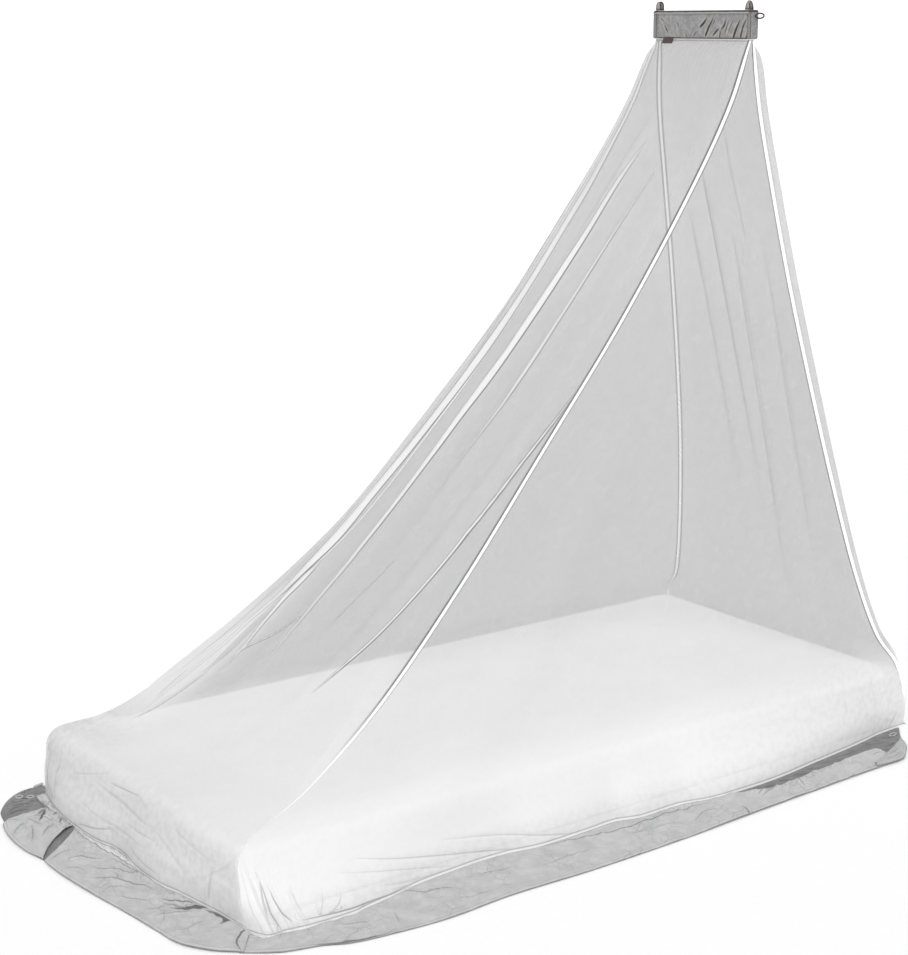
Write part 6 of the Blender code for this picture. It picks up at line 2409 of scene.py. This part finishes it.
def make_floor(settings):
    """A round floor that sweeps up into a low wall all round."""
    deselect()
    floor_height = CAD_BOX[0].z - FLOOR_BELOW
    bpy.ops.mesh.primitive_circle_add(
        vertices=96, radius=FLOOR_RADIUS, fill_type="NGON", location=(0, 0, floor_height)
    )
    floor = bpy.context.active_object
    floor.name = "studio_floor"
    bpy.ops.object.mode_set(mode="EDIT")
    bpy.ops.mesh.select_all(action="SELECT")
    reach, height = FLOOR_RADIUS, 0.0
    for k in range(1, SWEEP_STEPS + 1):
        turn = pi / 2 * k / SWEEP_STEPS
        next_reach = FLOOR_RADIUS + SWEEP_RADIUS * sin(turn)
        next_height = SWEEP_RADIUS * (1 - cos(turn))
        if k == 1:
            bpy.ops.mesh.select_mode(type="EDGE")
            bpy.ops.mesh.region_to_loop()
        bpy.ops.mesh.extrude_edges_move(TRANSFORM_OT_translate={"value": (0, 0, next_height - height)})
        grow = next_reach / reach
        bpy.ops.transform.resize(value=(grow, grow, 1))
        reach, height = next_reach, next_height
    bpy.ops.mesh.select_all(action="SELECT")
    bpy.ops.mesh.normals_make_consistent(inside=False)
    bpy.ops.object.mode_set(mode="OBJECT")
    bpy.ops.object.transform_apply(location=True, rotation=True, scale=True)
    floor.data.shade_smooth()
    floor.data.materials.append(floor_material(settings))


def make_lights(settings):
    world = bpy.data.worlds.new("studio_light")
    world.use_nodes = True
    world.node_tree.nodes["Background"].inputs["Color"].default_value = (1, 1, 1, 1)
    world.node_tree.nodes["Background"].inputs["Strength"].default_value = settings.sky_strength
    bpy.context.scene.world = world
    deselect()
    turned = KEY_DIRECTION.to_track_quat("-Z", "Y").to_euler()
    bpy.ops.object.light_add(type="SUN", location=(-3, -4, 3), rotation=turned)
    key = bpy.context.active_object
    key.name = "key_light"
    key.data.energy = settings.key_strength
    key.data.angle = settings.key_spread


def make_camera(settings):
    deselect()
    bpy.ops.object.camera_add(location=CAMERA_AT, rotation=(CAMERA_TILT, 0, CAMERA_HEADING))
    camera = bpy.context.active_object
    camera.data.sensor_width = SENSOR_WIDTH
    camera.data.lens = settings.lens
    camera.data.clip_end = 100
    bpy.context.scene.camera = camera


# Operators -------------------------------------------------------------------------------------------------


class CANOPY_OT_stage(bpy.types.Operator):
    """Makes the floor, the lights and the camera"""

    bl_idname = "canopy.stage"
    bl_label = "Stage"

    def execute(self, context):
        settings = context.scene.canopy_stage
        make_camera(settings)
        make_floor(settings)
        make_lights(settings)
        context.scene.view_settings.view_transform = "Standard"
        return {"FINISHED"}


class CANOPY_OT_mattress(bpy.types.Operator):
    """Makes the mattress in its fitted sheet"""

    bl_idname = "canopy.mattress"
    bl_label = "Mattress"

    def execute(self, context):
        make_mattress(context.scene.canopy_cloth)
        return {"FINISHED"}


class CANOPY_OT_net(bpy.types.Operator):
    """Makes the four panels of net"""

    bl_idname = "canopy.net"
    bl_label = "Net panels"

    def execute(self, context):
        make_net(context.scene.canopy_cloth)
        return {"FINISHED"}


class CANOPY_OT_tapes(bpy.types.Operator):
    """Makes the four seam tapes"""

    bl_idname = "canopy.tapes"
    bl_label = "Seam tapes"

    def execute(self, context):
        make_tapes(context.scene.canopy_cloth)
        return {"FINISHED"}


class CANOPY_OT_skirt(bpy.types.Operator):
    """Makes the five lengths of light skirt"""

    bl_idname = "canopy.skirt"
    bl_label = "Skirt"

    def execute(self, context):
        make_skirts(context.scene.canopy_cloth)
        return {"FINISHED"}


class CANOPY_OT_corners(bpy.types.Operator):
    """Makes the dark corner pieces, which stand in for the shade in the gaps at the corners, and the folded
    flap
    """

    bl_idname = "canopy.corners"
    bl_label = "Corner pieces"

    def execute(self, context):
        make_corners(context.scene.canopy_cloth)
        return {"FINISHED"}


class CANOPY_OT_pouch(bpy.types.Operator):
    """Makes the padded pouch, its end bindings and its piping"""

    bl_idname = "canopy.pouch"
    bl_label = "Pouch"

    def execute(self, context):
        settings = context.scene.canopy_heading
        make_pouch(settings)
        make_piping(settings)
        return {"FINISHED"}


class CANOPY_OT_loops(bpy.types.Operator):
    """Makes the two webbing loops that the canopy hangs by"""

    bl_idname = "canopy.loops"
    bl_label = "Hanging loops"

    def execute(self, context):
        make_loops(context.scene.canopy_heading)
        return {"FINISHED"}


class CANOPY_OT_trim(bpy.types.Operator):
    """Makes the pull tab, the end ring and the small rings, toggle and loop of the corners"""

    bl_idname = "canopy.trim"
    bl_label = "Tab, rings and toggle"

    def execute(self, context):
        settings = context.scene.canopy_heading
        make_tab(settings)
        make_end_ring(settings)
        make_pegs(settings)
        return {"FINISHED"}


OPERATORS = (
    CANOPY_OT_stage,
    CANOPY_OT_mattress,
    CANOPY_OT_net,
    CANOPY_OT_tapes,
    CANOPY_OT_skirt,
    CANOPY_OT_corners,
    CANOPY_OT_pouch,
    CANOPY_OT_loops,
    CANOPY_OT_trim,
)


class CANOPY_PT_panel(bpy.types.Panel):
    """Lists the steps that make the canopy"""

    bl_idname = "CANOPY_PT_panel"
    bl_label = "Net canopy"
    bl_space_type = "VIEW_3D"
    bl_region_type = "UI"
    bl_category = "Net canopy"

    def draw(self, context):
        for operator in OPERATORS:
            self.layout.operator(operator.bl_idname)


CLASSES = (CanopyClothSettings, CanopyHeadingSettings, CanopyStageSettings, *OPERATORS, CANOPY_PT_panel)


def register():
    for item in CLASSES:
        bpy.utils.register_class(item)
    bpy.types.Scene.canopy_cloth = bpy.props.PointerProperty(type=CanopyClothSettings)
    bpy.types.Scene.canopy_heading = bpy.props.PointerProperty(type=CanopyHeadingSettings)
    bpy.types.Scene.canopy_stage = bpy.props.PointerProperty(type=CanopyStageSettings)


def unregister():
    del bpy.types.Scene.canopy_cloth
    del bpy.types.Scene.canopy_heading
    del bpy.types.Scene.canopy_stage
    for item in reversed(CLASSES):
        bpy.utils.unregister_class(item)


def main():
    register()
    bpy.ops.canopy.stage()
    bpy.ops.canopy.mattress()
    bpy.ops.canopy.net()
    bpy.ops.canopy.tapes()
    bpy.ops.canopy.skirt()
    bpy.ops.canopy.corners()
    bpy.ops.canopy.pouch()
    bpy.ops.canopy.loops()
    bpy.ops.canopy.trim()


if __name__ == "__main__":
    main()
